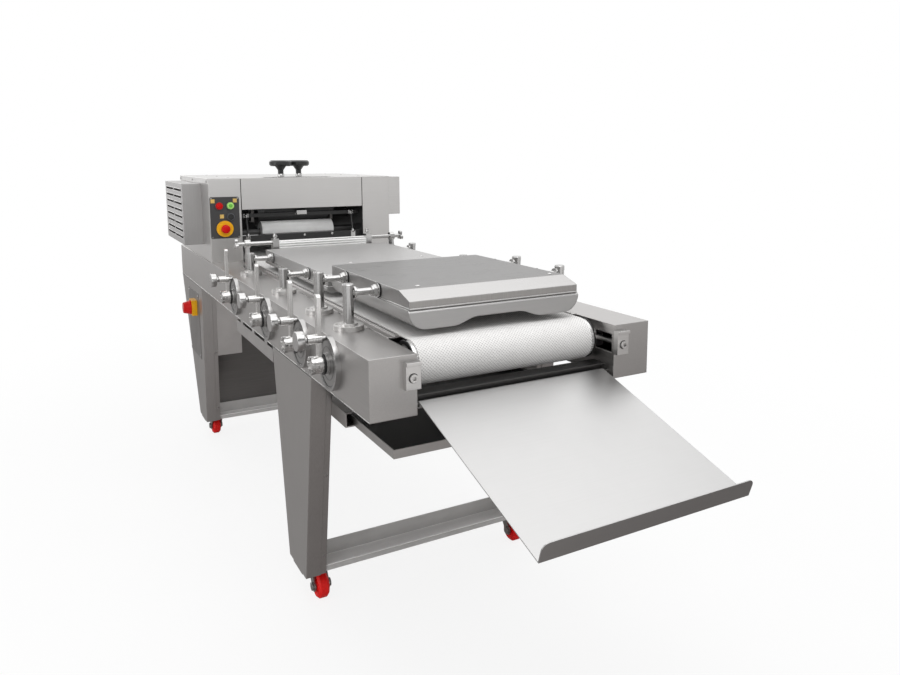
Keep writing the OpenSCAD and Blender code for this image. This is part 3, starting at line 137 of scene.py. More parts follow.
# Materials
class Nodes:
    """A node tree, with the node chains that the finishes and the studio share."""

    def __init__(self, owner, coordinates):
        owner.use_nodes = True
        self.tree = owner.node_tree
        self.tree.nodes.clear()
        self.coord = self.node("ShaderNodeTexCoord").outputs[coordinates]

    def node(self, kind, **settings):
        n = self.tree.nodes.new(kind)
        for key, value in settings.items():
            setattr(n, key, value)
        return n

    def link(self, a, b):
        self.tree.links.new(a, b)

    def feed(self, socket, value):
        if isinstance(value, bpy.types.NodeSocket):
            self.link(value, socket)
        else:
            socket.default_value = value

    def math(self, op, a, b=0.0):
        n = self.node("ShaderNodeMath", operation=op)
        self.feed(n.inputs[0], a)
        self.feed(n.inputs[1], b)
        return n.outputs[0]

    def axes(self):
        n = self.node("ShaderNodeSeparateXYZ")
        self.link(self.coord, n.inputs[0])
        return n.outputs[0], n.outputs[1], n.outputs[2]

    def zone(self, **limits):
        """1 where each named axis is between its low and high place of the source. None sets no limit."""
        x, y, z = self.axes()
        tests = []
        for axis, (low, high) in limits.items():
            if axis == "across":
                value, start = self.math("ABSOLUTE", x), 0.0
            else:
                value, start = {"x": (x, 0.0), "y": (y, FRONT_Y), "z": (z, TOP_Z)}[axis]
            if low is not None:
                tests.append(self.math("GREATER_THAN", value, start + low / 1000))
            if high is not None:
                tests.append(self.math("LESS_THAN", value, start + high / 1000))
        inside = tests[0]
        for test in tests[1:]:
            inside = self.math("MULTIPLY", inside, test)
        return inside

    def noise(self, scale, detail=3.0, rough=0.55, stretch=(1, 1, 1)):
        place = self.node("ShaderNodeMapping")
        self.link(self.coord, place.inputs["Vector"])
        place.inputs["Scale"].default_value = stretch
        n = self.node("ShaderNodeTexNoise")
        self.link(place.outputs[0], n.inputs["Vector"])
        n.inputs["Scale"].default_value = scale
        n.inputs["Detail"].default_value = detail
        n.inputs["Roughness"].default_value = rough
        return n.outputs[0]

    def ramp(self, fac, *stops):
        n = self.node("ShaderNodeValToRGB")
        self.link(fac, n.inputs[0])
        while len(n.color_ramp.elements) < len(stops):
            n.color_ramp.elements.new(0.5)
        for element, (place, colour) in zip(n.color_ramp.elements, stops):
            element.position = place
            element.color = (*colour, 1)
        return n.outputs[0]

    def span(self, fac, low, high, from_low=0.0, from_high=1.0):
        n = self.node("ShaderNodeMapRange")
        for socket, value in zip(n.inputs, (fac, from_low, from_high, low, high)):
            self.feed(socket, value)
        return n.outputs[0]

    def mix(self, fac, *colours):
        """Two colours mixed. The node's colour sockets come after those for numbers and vectors."""
        n = self.node("ShaderNodeMix", data_type="RGBA")
        self.feed(n.inputs["Factor"], fac)
        for socket, colour in zip(n.inputs[6:8], colours):
            self.feed(socket, (*colour, 1) if isinstance(colour, tuple) else colour)
        return n.outputs[2]

    def seen(self):
        """1 on rays from the camera, in reflections and through glass."""
        path = self.node("ShaderNodeLightPath")
        out = path.outputs["Is Camera Ray"]
        for kind in ("Is Glossy Ray", "Is Transmission Ray"):
            out = self.math("MAXIMUM", out, path.outputs[kind])
        return out

    def blend(self, fac, first, second, out):
        """Two shaders mixed into an output node."""
        n = self.node("ShaderNodeMixShader")
        for socket, value in zip(n.inputs, (fac, first.outputs[0], second.outputs[0])):
            self.link(value, socket)
        self.link(n.outputs[0], out.inputs["Surface"])


class Shade(Nodes):
    """A Principled material."""

    def __init__(self, name):
        self.mat = bpy.data.materials.new(name)
        super().__init__(self.mat, "Object")
        self.out = self.node("ShaderNodeOutputMaterial")
        self.bsdf = self.node("ShaderNodeBsdfPrincipled")
        self.link(self.bsdf.outputs[0], self.out.inputs["Surface"])
        self.normal = None

    def set(self, **values):
        for key, value in values.items():
            self.feed(self.bsdf.inputs[key.replace("_", " ")], value)

    def bump(self, height, strength, depth):
        n = self.node("ShaderNodeBump")
        n.inputs["Strength"].default_value = strength
        n.inputs["Distance"].default_value = depth
        self.link(height, n.inputs["Height"])
        if self.normal:
            self.link(self.normal, n.inputs["Normal"])
        self.normal = n.outputs[0]
        self.link(self.normal, self.bsdf.inputs["Normal"])

    def soft_edges(self, radius):
        n = self.node("ShaderNodeBevel", samples=4)
        n.inputs["Radius"].default_value = radius
        self.normal = n.outputs[0]
        self.link(self.normal, self.bsdf.inputs["Normal"])


def shifted(colour, by):
    return tuple(min(1.0, max(0.0, c * by)) for c in colour)


def grey(tone):
    return (tone, tone, tone)


# Grain directions: noise is squeezed across the grain and drawn out along it
ALONG_X = (6, 700, 700)
ALONG_Y = (700, 6, 700)
ALONG_Z = (700, 700, 6)


def steel(name, colour, grain, rough=0.34, edge=0.0012, spread=0.10, metal=1.0, graze=1.0, dark=None):
    """Brushed steel, duller at a grazing look where graze is low. Where dark marks, it is painted
    near-black with less metal, as painted shade.
    """
    s = Shade(name)
    s.soft_edges(edge)
    fine = s.noise(1.0, detail=2.0, rough=0.6, stretch=grain)
    cloud = s.noise(5.0)
    blotch = s.noise(23.0, detail=2.0, rough=0.5)
    base = s.ramp(fine, (0.30, shifted(colour, 1 - spread)), (0.70, shifted(colour, 1 + spread)))
    base = s.mix(s.span(cloud, 0.0, 2 * spread, 0.45, 0.8), base, shifted(colour, 0.80))
    rubbed = s.math("ADD", s.span(fine, rough - 0.05, rough + 0.07), s.span(blotch, -0.03, 0.04))
    # Painted shade: near-black and less metallic where the dark mask holds
    if dark:
        shade_mask = dark(s)
        base = s.mix(shade_mask, base, (0.016, 0.016, 0.017))
        metal = s.math("SUBTRACT", metal, s.math("MULTIPLY", shade_mask, metal))
    s.set(Base_Color=base, Metallic=metal, Roughness=rubbed, Specular_Tint=(*grey(graze), 1))
    s.bump(fine, strength=0.10, depth=0.0004)
    return s.mat


def plastic(name, colour, rough=0.35, grain=700.0, shine=0.5):
    """Moulded plastic, paint or rubber with a fine skin."""
    s = Shade(name)
    s.soft_edges(0.0008)
    skin = s.noise(grain, detail=2.0, rough=0.5)
    cloud = s.noise(14.0, rough=0.6)
    base = s.ramp(cloud, (0.3, shifted(colour, 0.94)), (0.7, shifted(colour, 1.06)))
    s.set(Base_Color=base, Roughness=s.span(cloud, rough - 0.05, rough + 0.08), Specular_IOR_Level=shine)
    s.bump(skin, strength=0.25, depth=0.0001)
    return s.mat


def belt_cloth():
    """Pale belt with a raised diamond weave that follows the belt round its front drum."""
    pitch = 0.0076
    s = Shade("belt_weave")
    x, y, z = s.axes()
    drum = at(0, DRUM_Y, DRUM_Z)
    ahead = s.math("MAXIMUM", s.math("SUBTRACT", drum.y, y), 0.0)
    turn = s.math("ARCTAN2", ahead, s.math("SUBTRACT", z, drum.z))
    run = s.math("SUBTRACT", s.math("MAXIMUM", y, drum.y), s.math("MULTIPLY", turn, BELT_R / 1000))
    waves = []
    for op in ("ADD", "SUBTRACT"):
        waves.append(s.math("SINE", s.math("MULTIPLY", s.math(op, x, run), 2 * math.pi / pitch)))
    crossing = s.math("MULTIPLY", *waves)
    weave = s.math("ADD", s.math("MULTIPLY", waves[0], 0.45), s.math("MULTIPLY", crossing, 0.55))
    cloud = s.noise(6.0, detail=4.0, rough=0.6)
    grime = s.noise(2.3, rough=0.6, stretch=(1, 0.3, 1))
    base = s.ramp(cloud, (0.35, (0.80, 0.79, 0.78)), (0.65, (0.86, 0.85, 0.84)))
    base = s.mix(s.span(grime, 0.0, 0.2, 0.5, 0.8), base, (0.66, 0.65, 0.64))
    base = s.mix(s.span(weave, 0.0, 0.62, 0.05, 0.6), base, (0.26, 0.255, 0.25))
    s.set(Base_Color=base, Roughness=s.span(cloud, 0.62, 0.78))
    s.bump(weave, strength=0.45, depth=0.0006)
    return s.mat


def dial_metal():
    """Satin dial face inside a bright turned rim."""
    face_in, face_out, pitch = 0.0252, 0.0533, 0.0011
    s = Shade("dial_metal")
    s.soft_edges(0.0006)
    _, y, z = s.axes()
    far = None
    for shaft in SHAFTS:
        centre = at(*shaft)
        along = s.math("SUBTRACT", y, centre.y)
        up = s.math("SUBTRACT", z, centre.z)
        squares = s.math("ADD", s.math("MULTIPLY", along, along), s.math("MULTIPLY", up, up))
        distance = s.math("SQRT", squares)
        far = distance if far is None else s.math("MINIMUM", far, distance)
    face = s.math("MULTIPLY", s.math("LESS_THAN", far, face_out), s.math("GREATER_THAN", far, face_in))
    lathe = s.math("SINE", s.math("MULTIPLY", far, 2 * math.pi / pitch))
    cloud = s.noise(9.0, rough=0.6)
    rim = s.ramp(cloud, (0.3, (0.38, 0.375, 0.37)), (0.7, (0.43, 0.425, 0.42)))
    satin = s.ramp(cloud, (0.3, (0.30, 0.295, 0.29)), (0.7, (0.36, 0.355, 0.35)))
    base = s.mix(face, rim, satin)
    base = s.mix(s.span(lathe, 0.0, 0.12, -1.0, 1.0), base, grey(0.15))
    s.set(Base_Color=base, Metallic=1.0, Roughness=s.span(face, 0.3, 0.4))
    s.bump(lathe, strength=0.08, depth=0.0002)
    return s.mat


Coat = namedtuple("Coat", "colour metal rough")


def two_part(name, test, first, second, graze=1.0):
    """Two coats on one node: where the test holds it is the second. On some nodes the second coat is
    painted shade or painted light.
    """
    s = Shade(name)
    s.soft_edges(0.0008)
    place = test(s)
    fine = s.noise(1.0, detail=2.0, rough=0.6, stretch=ALONG_X)
    cloud = s.noise(11.0, rough=0.6)
    sides = []
    for coat in (first, second):
        tone = s.ramp(cloud, (0.3, shifted(coat.colour, 0.93)), (0.7, shifted(coat.colour, 1.06)))
        sides.append(s.mix(s.span(fine, 0.0, 0.2), tone, shifted(coat.colour, 0.8)))
    metal = first.metal
    if second.metal != metal:
        metal = s.span(place, first.metal, second.metal)
    rubbed = s.math("ADD", s.span(fine, first.rough - 0.04, first.rough + 0.05),
                    s.math("MULTIPLY", place, second.rough - first.rough))
    s.set(Base_Color=s.mix(place, *sides), Metallic=metal, Roughness=rubbed,
          Specular_Tint=(*grey(graze), 1))
    s.bump(fine, strength=0.08, depth=0.0003)
    return s.mat


# Where a node has its second coat, its painted shade or its painted light. A mask's limit is a little off
# the faces beside it, so that each face is wholly in or out.
SKIN, SHADE_INSET = 0.3, 1.5


# Painted shade: the inside of the crumb tray is painted black
def painted_shade_in_crumb_tray(s):
    wall = 1
    low, high = corners("crumb_tray")
    return s.zone(across=(None, high[0] - wall), y=(low[1] + wall, high[1] - wall),
                  z=(low[2] + wall, high[2] - SKIN))


def on_curl_profile(s):
    return s.zone(across=(None, CURL_HALF + SKIN), z=(None, CURL_Z + SKIN))


# Painted shade: the inside of the head is painted black
def painted_shade_in_head(s):
    return s.zone(across=(None, COLUMN_IN + SHADE_INSET), y=(HEAD_Y + SHADE_INSET, HEAD_END - SHADE_INSET),
                  z=(None, HEAD_H - SHADE_INSET))


# Painted light: the lower frame near the floor gets a paler, less metallic coat
def painted_light_near_floor(s):
    reach = 100
    return s.zone(z=(None, FOOT_Z + reach))


# Painted shade: the box's outer side, with the hatch, is painted darker
def painted_shade_on_hatch(s):
    return s.zone(x=(None, SINK - HALF))


def on_roller_shaft(s):
    return s.zone(across=(ROLLER_HALF + SKIN, None))


def on_mouth_ends(s):
    """The bright ends of the scrapers' tie rods, and the bright grip between them."""
    rods, rod_low, rod_high = (203, 221), 100, 160
    grip_half, grip_z = 20.5, 165
    lower = s.zone(across=rods, z=(None, rod_low))
    upper = s.zone(across=rods, z=(rod_high, None))
    grip = s.zone(across=(None, grip_half), z=(grip_z, None))
    return s.math("MAXIMUM", s.math("MAXIMUM", lower, upper), grip)


STEEL = (0.47, 0.458, 0.45)
BRIGHT = (0.52, 0.515, 0.51)
FOLD, COVER_FOLD, TURNED = 0.0026, 0.0024, 0.0006
SHEET_COAT = Coat(STEEL, metal=1.0, rough=0.36)
BRIGHT_COAT = Coat(BRIGHT, metal=1.0, rough=0.2)
SHAFT_COAT = Coat(grey(0.10), metal=1.0, rough=0.4)

MATERIALS = {
    "steel_rail": steel("steel_rail", STEEL, ALONG_Y, edge=FOLD, spread=0.06),
    "steel_leg": steel("steel_leg", (0.54, 0.526, 0.517), ALONG_Z, edge=FOLD, spread=0.05, graze=0.7),
    # Painted light: a paler, less metallic coat on the lower frame near the floor
    "steel_low_painted_light": two_part("steel_low_painted_light", painted_light_near_floor, SHEET_COAT,
                          Coat((0.66, 0.65, 0.64), metal=0.35, rough=0.45)),
    # Painted light: a near-white, barely metallic finish for the crossmember sheet and edges
    "steel_painted_light": steel("steel_painted_light", (0.96, 0.95, 0.94), ALONG_X, rough=0.5, spread=0.03, metal=0.05),
    # Painted shade: the electrical box's outer side is darker
    "steel_box": two_part("steel_box", painted_shade_on_hatch, Coat((0.62, 0.605, 0.595), metal=1.0, rough=0.4),
                          Coat((0.44, 0.43, 0.424), metal=1.0, rough=0.4), graze=0.5),
    "steel_guard": steel("steel_guard", (0.43, 0.422, 0.418), ALONG_Z, rough=0.38, edge=FOLD, spread=0.04),
    # Painted shade: the head's inside is painted black
    "steel_head": steel("steel_head", (0.60, 0.59, 0.58), ALONG_X, edge=FOLD, spread=0.03, dark=painted_shade_in_head),
    "steel_front": steel("steel_front", (0.50, 0.493, 0.488), ALONG_X, rough=0.28, edge=COVER_FOLD,
                         spread=0.03, graze=0.55),
    "steel_rear": steel("steel_rear", (0.47, 0.464, 0.46), ALONG_X, rough=0.40, edge=COVER_FOLD,
                        spread=0.03),
    "steel_tray": steel("steel_tray", (0.46, 0.457, 0.455), ALONG_X, rough=0.36, spread=0.02),
    "steel_bright": steel("steel_bright", BRIGHT, ALONG_X, rough=0.20, edge=TURNED, spread=0.05),
    "steel_post": steel("steel_post", (0.50, 0.495, 0.49), ALONG_Z, rough=0.20, edge=TURNED, spread=0.04),
    "steel_drum": steel("steel_drum", (0.80, 0.795, 0.79), ALONG_X, rough=0.25, metal=0.6),
    "steel_socket": steel("steel_socket", (0.66, 0.65, 0.64), ALONG_X, rough=0.3, edge=0.0015, spread=0.05),
    "steel_lever": steel("steel_lever", (0.68, 0.67, 0.66), ALONG_Z, rough=0.24, spread=0.04, metal=0.9),
    "zinc": steel("zinc_plate", (0.36, 0.35, 0.34), ALONG_Z, edge=0.0008),
    "belt": belt_cloth(),
    "dial": dial_metal(),
    "pad": steel("pad_steel", (0.42, 0.415, 0.41), ALONG_X, rough=0.36, edge=0.004, spread=0.03, metal=0.8),
    "roller": two_part("roller_finish", on_roller_shaft, Coat((0.92, 0.92, 0.91), metal=0.0, rough=0.3),
                       SHAFT_COAT),
    # Painted shade: the upper roller is black, for the shade in the head's mouth
    "roller_painted_shade": two_part("roller_painted_shade", on_roller_shaft, Coat(grey(0.03), metal=0.0, rough=0.4),
                            SHAFT_COAT),
    "curl": two_part("curl_finish", on_curl_profile, BRIGHT_COAT,
                     Coat((0.84, 0.84, 0.83), metal=0.0, rough=0.42)),
    "scraper": two_part("scraper_finish", on_mouth_ends, Coat(grey(0.05), metal=0.6, rough=0.4),
                        BRIGHT_COAT),
    # Dark steel: painted shade on the rear panel and the roller yoke; also the dark hatch seam
    "dark": steel("dark_steel", (0.20, 0.19, 0.185), ALONG_X, rough=0.42),
    # Painted shade: the tray hanger under the belt is near-black
    "shade": steel("shade_steel", (0.10, 0.098, 0.096), ALONG_X, rough=0.42),
    # Painted shade: the crumb tray's inside is painted black
    "crumb": two_part("crumb_painted_shade", painted_shade_in_crumb_tray, SHEET_COAT, Coat(grey(0.012), metal=0.0, rough=0.5)),
    "motor": plastic("motor_paint", (0.10, 0.11, 0.125), rough=0.4, grain=350.0),
    "panel": plastic("panel_plastic", (0.042, 0.041, 0.042), rough=0.45),
    "black": plastic("black_plastic", grey(0.012), rough=0.3),
    "ink": plastic("black_enamel", grey(0.008), rough=0.4),
    "red": plastic("red_plastic", (0.58, 0.004, 0.004), rough=0.3, shine=0.2),
    "yellow": plastic("yellow_plastic", (0.82, 0.41, 0.012), rough=0.3, shine=0.2),
    "plate": plastic("plate_enamel", (0.66, 0.44, 0.12), rough=0.4),
    "green": plastic("green_plastic", (0.42, 0.76, 0.20), rough=0.3, shine=0.3),
    "green_lens": plastic("green_lens", (0.14, 0.48, 0.05), rough=0.2),
    "wheel": plastic("wheel_rubber", (0.84, 0.010, 0.008), rough=0.45, grain=500.0, shine=0.25),
    "mark": plastic("mark_enamel", (0.72, 0.72, 0.70), rough=0.4),
}

FINISH = {
    "steel_rail": ["rail_left", "rail_right", "bed_plate"],
    "shade": ["tray_hanger"],
    "steel_socket": ["post_sockets", "belt_tensioners"],
    "steel_low_painted_light": ["lower_frame"],
    "steel_leg": ["legs"],
    "steel_box": ["electrical_box"],
    "steel_guard": ["left_guard"],
    "steel_head": ["head_side_left", "head_side_right", "head_cover", "right_guard"],
    "steel_front": ["front_board_shell"],
    "steel_rear": ["rear_board_shell"],
    "steel_tray": ["catch_tray"],
    "steel_drum": ["front_drum", "rear_drum"],
    "steel_bright": ["cover_screws"] + [f"plunger_{k}" for k in range(1, 5)],
    "steel_lever": [f"lever_{k}" for k in range(1, 5)],
    "zinc": [f"castor_fork_{k}" for k in range(1, 5)],
    "dial": ["dial_discs"],
    "steel_post": ["front_posts", "rear_posts"],
    "belt": ["conveyor_belt"],
    "pad": ["front_board_pad", "rear_board_pad"],
    "roller": ["lower_roller"],
    "roller_painted_shade": ["upper_roller"],
    "curl": ["curl_bar"],
    # Rear panel and roller yoke: dark steel as painted shade
    "dark": ["rear_panel", "roller_yoke"],
    "scraper": ["roller_scrapers"],
    "crumb": ["crumb_tray"],
    "motor": ["gear_motor"],
    "panel": ["control_panel"],
    "black": ["gap_knob_left", "gap_knob_right", "black_button"],
    "red": ["stop_button", "red_button", "switch_handle"],
    "yellow": ["stop_collar", "switch_base"],
    "green": ["green_button"],
    "wheel": [f"castor_wheel_{k}" for k in range(1, 5)],
}
for key, names in FINISH.items():
    for name in names:
        NODES[name].data.materials.clear()
        NODES[name].data.materials.append(MATERIALS[key])


# Rounded edges on the CAD nodes whose edges catch the light
def rounded(name, width):
    obj = NODES[name]
    weld = obj.modifiers.new("weld", "WELD")
    weld.merge_threshold = 0.00001
    flat = obj.modifiers.new("flat", "DECIMATE")
    flat.decimate_type = "DISSOLVE"
    flat.angle_limit = math.radians(0.5)
    bevel = obj.modifiers.new("bevel", "BEVEL")
    bevel.limit_method = "ANGLE"
    bevel.angle_limit = math.radians(40)
    bevel.width = width / 1000
    bevel.segments = 3
    bevel.use_clamp_overlap = True


for k in range(1, 5):
    rounded(f"plunger_{k}", 2.0)
for name in ("red_button", "green_button", "black_button"):
    rounded(name, 1.6)

# Details. A ring has its radii, its two ends along the axis and the cuts of its outer edges, inward and
# along. A screw is given by its head's radius and height.
Ring = namedtuple("Ring", "inner outer near far near_cut far_cut steps", defaults=((0, 0), (0, 0), 40))


class Build:
    """Gathers solids, placed in the source's millimetres, into one piece."""

    def __init__(self):
        self.bm = bmesh.new()

    def vert(self, x, y, z):
        return self.bm.verts.new(at(x, y, z))

    def turned(self, profile, axis, centre, steps=32, closed=False):
        """Solid of revolution: (radius, distance along the axis) pairs from a centre."""
        rows = []
        for r, a in profile:
            row = []
            for i in range(1 if r == 0 else steps):
                t = 2 * math.pi * (i + 0.5) / steps
                c, s = r * math.cos(t), r * math.sin(t)
                p = {"x": (a, c, s), "y": (s, a, c), "z": (c, s, a)}[axis]
                row.append(self.vert(*(q + w for q, w in zip(centre, p))))
            rows.append(row)
        pairs = list(zip(rows, rows[1:]))
        if closed:
            pairs.append((rows[-1], rows[0]))
        for a, b in pairs:
            for i in range(steps):
                j = (i + 1) % steps
                face = [a[i % len(a)], a[j % len(a)], b[j % len(b)], b[i % len(b)]]
                self.bm.faces.new(list(dict.fromkeys(face)))

    def ring(self, shape, axis, centre, way=1):
        """Ring, or disc where its inner radius is 0. A way of -1 turns it end for end."""
        run = math.copysign(1, shape.far - shape.near)
        (near_in, near_on), (far_in, far_on) = shape.near_cut, shape.far_cut
        outline = [(shape.inner, shape.near), (shape.outer - near_in, shape.near),
                   (shape.outer, shape.near + run * near_on), (shape.outer, shape.far - run * far_on),
                   (shape.outer - far_in, shape.far), (shape.inner, shape.far)]
        profile = [(r, way * a) for r, a in dict.fromkeys(outline)]
        self.turned(profile, axis, centre, shape.steps, closed=shape.inner > 0)

    def prism(self, outline, axis, low, high):
        """Outline in the two other axes, drawn out along one axis."""
        ends = []
        for a in (low, high):
            places = [{"x": (a, u, v), "y": (u, a, v), "z": (u, v, a)}[axis] for u, v in outline]
            ends.append([self.vert(*place) for place in places])
        n = len(outline)
        for i in range(n):
            j = (i + 1) % n
            self.bm.faces.new((ends[0][i], ends[0][j], ends[1][j], ends[1][i]))
        self.bm.faces.new(ends[0])
        self.bm.faces.new(ends[1])

    def block(self, low, high, chamfer):
        """Box with chamfered edges."""
        verts = []
        for corner in ((a, b, c) for a in (0, 1) for b in (0, 1) for c in (0, 1)):
            for full in range(3):
                p = []
                for k in range(3):
                    edge = high[k] if corner[k] else low[k]
                    p.append(edge if k == full else edge + (-chamfer if corner[k] else chamfer))
                verts.append(self.vert(*p))
        bmesh.ops.convex_hull(self.bm, input=verts)

    def dome(self, axis, centre, radius, height, way=1):
        """Round screw head."""
        crown = ((1, 0.3), (0.82, 0.75), (0.45, 1), (0, 1))
        profile = [(0, -SINK), (radius, -SINK)] + [(r * radius, h * height) for r, h in crown]
        self.turned([(r, way * a) for r, a in profile], axis, centre, steps=20)

    def cap_screw(self, axis, centre, radius, height, way=1):
        """Cylinder head with a round recess."""
        crown = ((1, 0.85), (0.88, 1), (0.52, 1), (0.52, 0.5), (0, 0.5))
        profile = [(0, -SINK), (radius, -SINK)] + [(r * radius, h * height) for r, h in crown]
        self.turned([(r, way * a) for r, a in profile], axis, centre, steps=18)

    def done(self, name, body, material, angle=35):
        """The piece, riding on its body, with sharp edges between faces at more than the angle."""
        bmesh.ops.recalc_face_normals(self.bm, faces=self.bm.faces[:])
        mesh = bpy.data.meshes.new(name)
        self.bm.to_mesh(mesh)
        self.bm.free()
        for p in mesh.polygons:
            p.use_smooth = True
        mesh.set_sharp_from_angle(angle=math.radians(angle))
        mesh.materials.append(MATERIALS[material])
        obj = bpy.data.objects.new(name, mesh)
        SCENE.collection.objects.link(obj)
        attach(obj, body)
        return obj


# Angles for the edges of nuts and louvre lips, in place of the usual one
NUT_ANGLE, LOUVRE_ANGLE = 20, 50

# Dials: two black grooves in each face, and ticks on the rim
DIAL_X = corners("dial_discs")[0][0]
DIAL_RECESS = 3
GROOVES = [Ring(inner, outer, near=0.1, far=-0.35, steps=96)
           for inner, outer in ((50.6, 52.6), (36.6, 37.4))]
TICKS, LONG_EVERY, TICK_IN, TICK_X = 60, 5, 53.7, (DIAL_X - 0.15, DIAL_X + 0.1)
LONG_TICK, SHORT_TICK = (0.6, 56.4), (0.4, 55.4)
grooves, ticks = Build(), Build()
for _, y, z in SHAFTS:
    for groove in GROOVES:
        grooves.ring(groove, "x", (DIAL_X + DIAL_RECESS, y, z))
    for i in range(TICKS):
        half, tick_out = SHORT_TICK if i % LONG_EVERY else LONG_TICK
        t = 2 * math.pi * i / TICKS
        c, s = math.cos(t), math.sin(t)
        tick = ((TICK_IN, -half), (tick_out, -half), (tick_out, half), (TICK_IN, half))
        ticks.prism([(y + r * c - w * s, z + r * s + w * c) for r, w in tick], "x", *TICK_X)
grooves.done("dial_grooves", "frame", "ink")
ticks.done("dial_ticks", "frame", "ink")

# Levers: a black seal at each hub's foot, a set screw in its side and a castle nut on its end
HUB_SEAL = Ring(19.55, 23.6, near=-378.0, far=-383.2, near_cut=(0.6, 0.8), far_cut=(0.6, 0.8))
HUB_R, HUB_SCREW_X = 19.2, -397
SET_SCREW = (3.6, 1.6)
CASTLE_TEETH, CASTLE_R, CASTLE_X = 8, (13, 20.5), (-409.5, -401.5)
TOOTH_ARC = (-15, -7.5, 0, 7.5, 15)
for k, (_, y, z) in enumerate(SHAFTS, 1):
    b = Build()
    b.ring(HUB_SEAL, "x", (0, y, z))
    b.done(f"hub_seal_{k}", f"lever_{k}", "ink")
    b = Build()
    b.cap_screw("y", (HUB_SCREW_X, y - HUB_R, z), *SET_SCREW, way=-1)
    b.done(f"hub_screw_{k}", f"lever_{k}", "steel_bright")
    b = Build()
    for i in range(CASTLE_TEETH):
        arc = [math.radians(360 / CASTLE_TEETH * i + a) for a in TOOTH_ARC]
        inner, outer = ([(y + r * math.cos(t), z + r * math.sin(t)) for t in arc] for r in CASTLE_R)
        b.prism(outer + inner[::-1], "x", *CASTLE_X)
    b.done(f"hub_nut_{k}", f"lever_{k}", "steel_bright")

# Boards: black washers and hexagon nuts on the arms, caps on the posts
WASHER = Ring(12.2, 18.4, near=-1.2, far=1.2, near_cut=(0.8, 0.6), far_cut=(0.8, 0.6))
ARM_NUT = Ring(8.2, 14.1, near=-4.6, far=4.6, near_cut=(1.1, 1.0), far_cut=(1.1, 1.0), steps=6)
POST_CAP = Ring(0, 13.4, near=9.0, far=21.4, far_cut=(2.0, 2.4))
ARM_NUT_OUT = 9.2
for body, board in BOARDS.items():
    washers, nuts, caps = Build(), Build(), Build()
    for y in board.posts:
        for side in (-1, 1):
            washers.ring(WASHER, "x", (side * (BOARD_SIDE + WASHER.far), y, board.arm_z))
            nuts.ring(ARM_NUT, "x", (side * (BOARD_SIDE + ARM_NUT_OUT), y, board.arm_z))
            caps.ring(POST_CAP, "z", (side * POST_X, y, board.arm_z))
    washers.done(f"{body}_washers", body, "ink")
    nuts.done(f"{body}_nuts", body, "steel_bright", NUT_ANGLE)
    caps.done(f"{body}_post_caps", body, "steel_post")

# Boards: a bright hem round each cover, a band on the front one's front, and two screws in each
HEM_H, HEM_OUT, HEM_CUT = 3.6, 1.3, 0.5
BAND_LOW, BAND_HIGH, BAND_IN, BAND_OUT, BAND_CUT = 4, 18, 0.6, 0.8, 0.4
COVER_SCREWS = {"front_board": ((-164, 188), (198, 184)), "rear_board": ((-83, 839), (173, 871))}
COVER_SCREW = (5.5, 2.4)
for body, board in BOARDS.items():
    (_, y0, foot), (_, y1, _) = board.low, board.high
    z0, z1 = foot + SINK, foot + HEM_H
    b = Build()
    b.block((-BOARD_SIDE, y0 - HEM_OUT, z0), (BOARD_SIDE, y0 + SINK, z1), HEM_CUT)
    b.block((-BOARD_SIDE, y1 - SINK, z0), (BOARD_SIDE, y1 + HEM_OUT, z1), HEM_CUT)
    for side in (-1, 1):
        x0, x1 = sorted((side * (BOARD_SIDE - SINK), side * (BOARD_SIDE + HEM_OUT)))
        b.block((x0, y0, z0), (x1, y1, z1), HEM_CUT)
    b.done(f"{body}_hem", body, "steel_bright")
_, y0, foot = BOARDS["front_board"].low
b = Build()
b.block((-BOARD_SIDE + BAND_IN, y0 - BAND_OUT, foot + BAND_LOW),
        (BOARD_SIDE - BAND_IN, y0 + SINK, foot + BAND_HIGH), BAND_CUT)
b.done("front_board_band", "front_board", "zinc")
for body, places in COVER_SCREWS.items():
    b = Build()
    for x, y in places:
        b.dome("z", (x, y, BOARDS[body].high[2]), *COVER_SCREW)
    b.done(f"{body}_screws", body, "steel_bright")

# Rails: a bright strip along the lower edge that is a painted highlight, and the dark seam between rail and
# leg
HIGHLIGHT_H, HIGHLIGHT_OUT, HIGHLIGHT_IN, HIGHLIGHT_CUT = 2.4, 0.9, 0.5, 0.4
SEAM_H, SEAM_IN, SEAM_CUT = 2, 1, 0.3
highlight_strips, seams = Build(), Build()
seam_top = RAIL_LOW - SINK
for side in (-1, 1):
    x0, x1 = sorted((side * (HALF - SINK), side * (HALF + HIGHLIGHT_OUT)))
    highlight_strips.block((x0, HIGHLIGHT_IN, RAIL_LOW), (x1, RAIL_END - HIGHLIGHT_IN, RAIL_LOW + HIGHLIGHT_H), HIGHLIGHT_CUT)
    for y0, y1 in ((LEG_Y, LEG_END), (REAR_LEG_Y, RAIL_END)):
        seams.block((x0, y0 + SEAM_IN, seam_top - SEAM_H), (x1, y1 - SEAM_IN, seam_top), SEAM_CUT)
highlight_strips.done("rail_painted_highlight", "frame", "steel_bright")
seams.done("leg_seams", "frame", "ink")

# Post sockets: three sunk screws in each flange
FLANGE_TOP, FLANGE_R, FLANGE_TURNS = 11, 28, (30, 150, 270)
FLANGE_SCREW = (3.6, 0.8)
b = Build()
for board in BOARDS.values():
    for y in board.posts:
        for side in (-1, 1):
            for turn in FLANGE_TURNS:
                across = side * (POST_X + FLANGE_R * math.cos(math.radians(turn)))
                along = y + FLANGE_R * math.sin(math.radians(turn))
                b.cap_screw("z", (across, along, FLANGE_TOP), *FLANGE_SCREW)
b.done("socket_screws", "frame", "zinc")

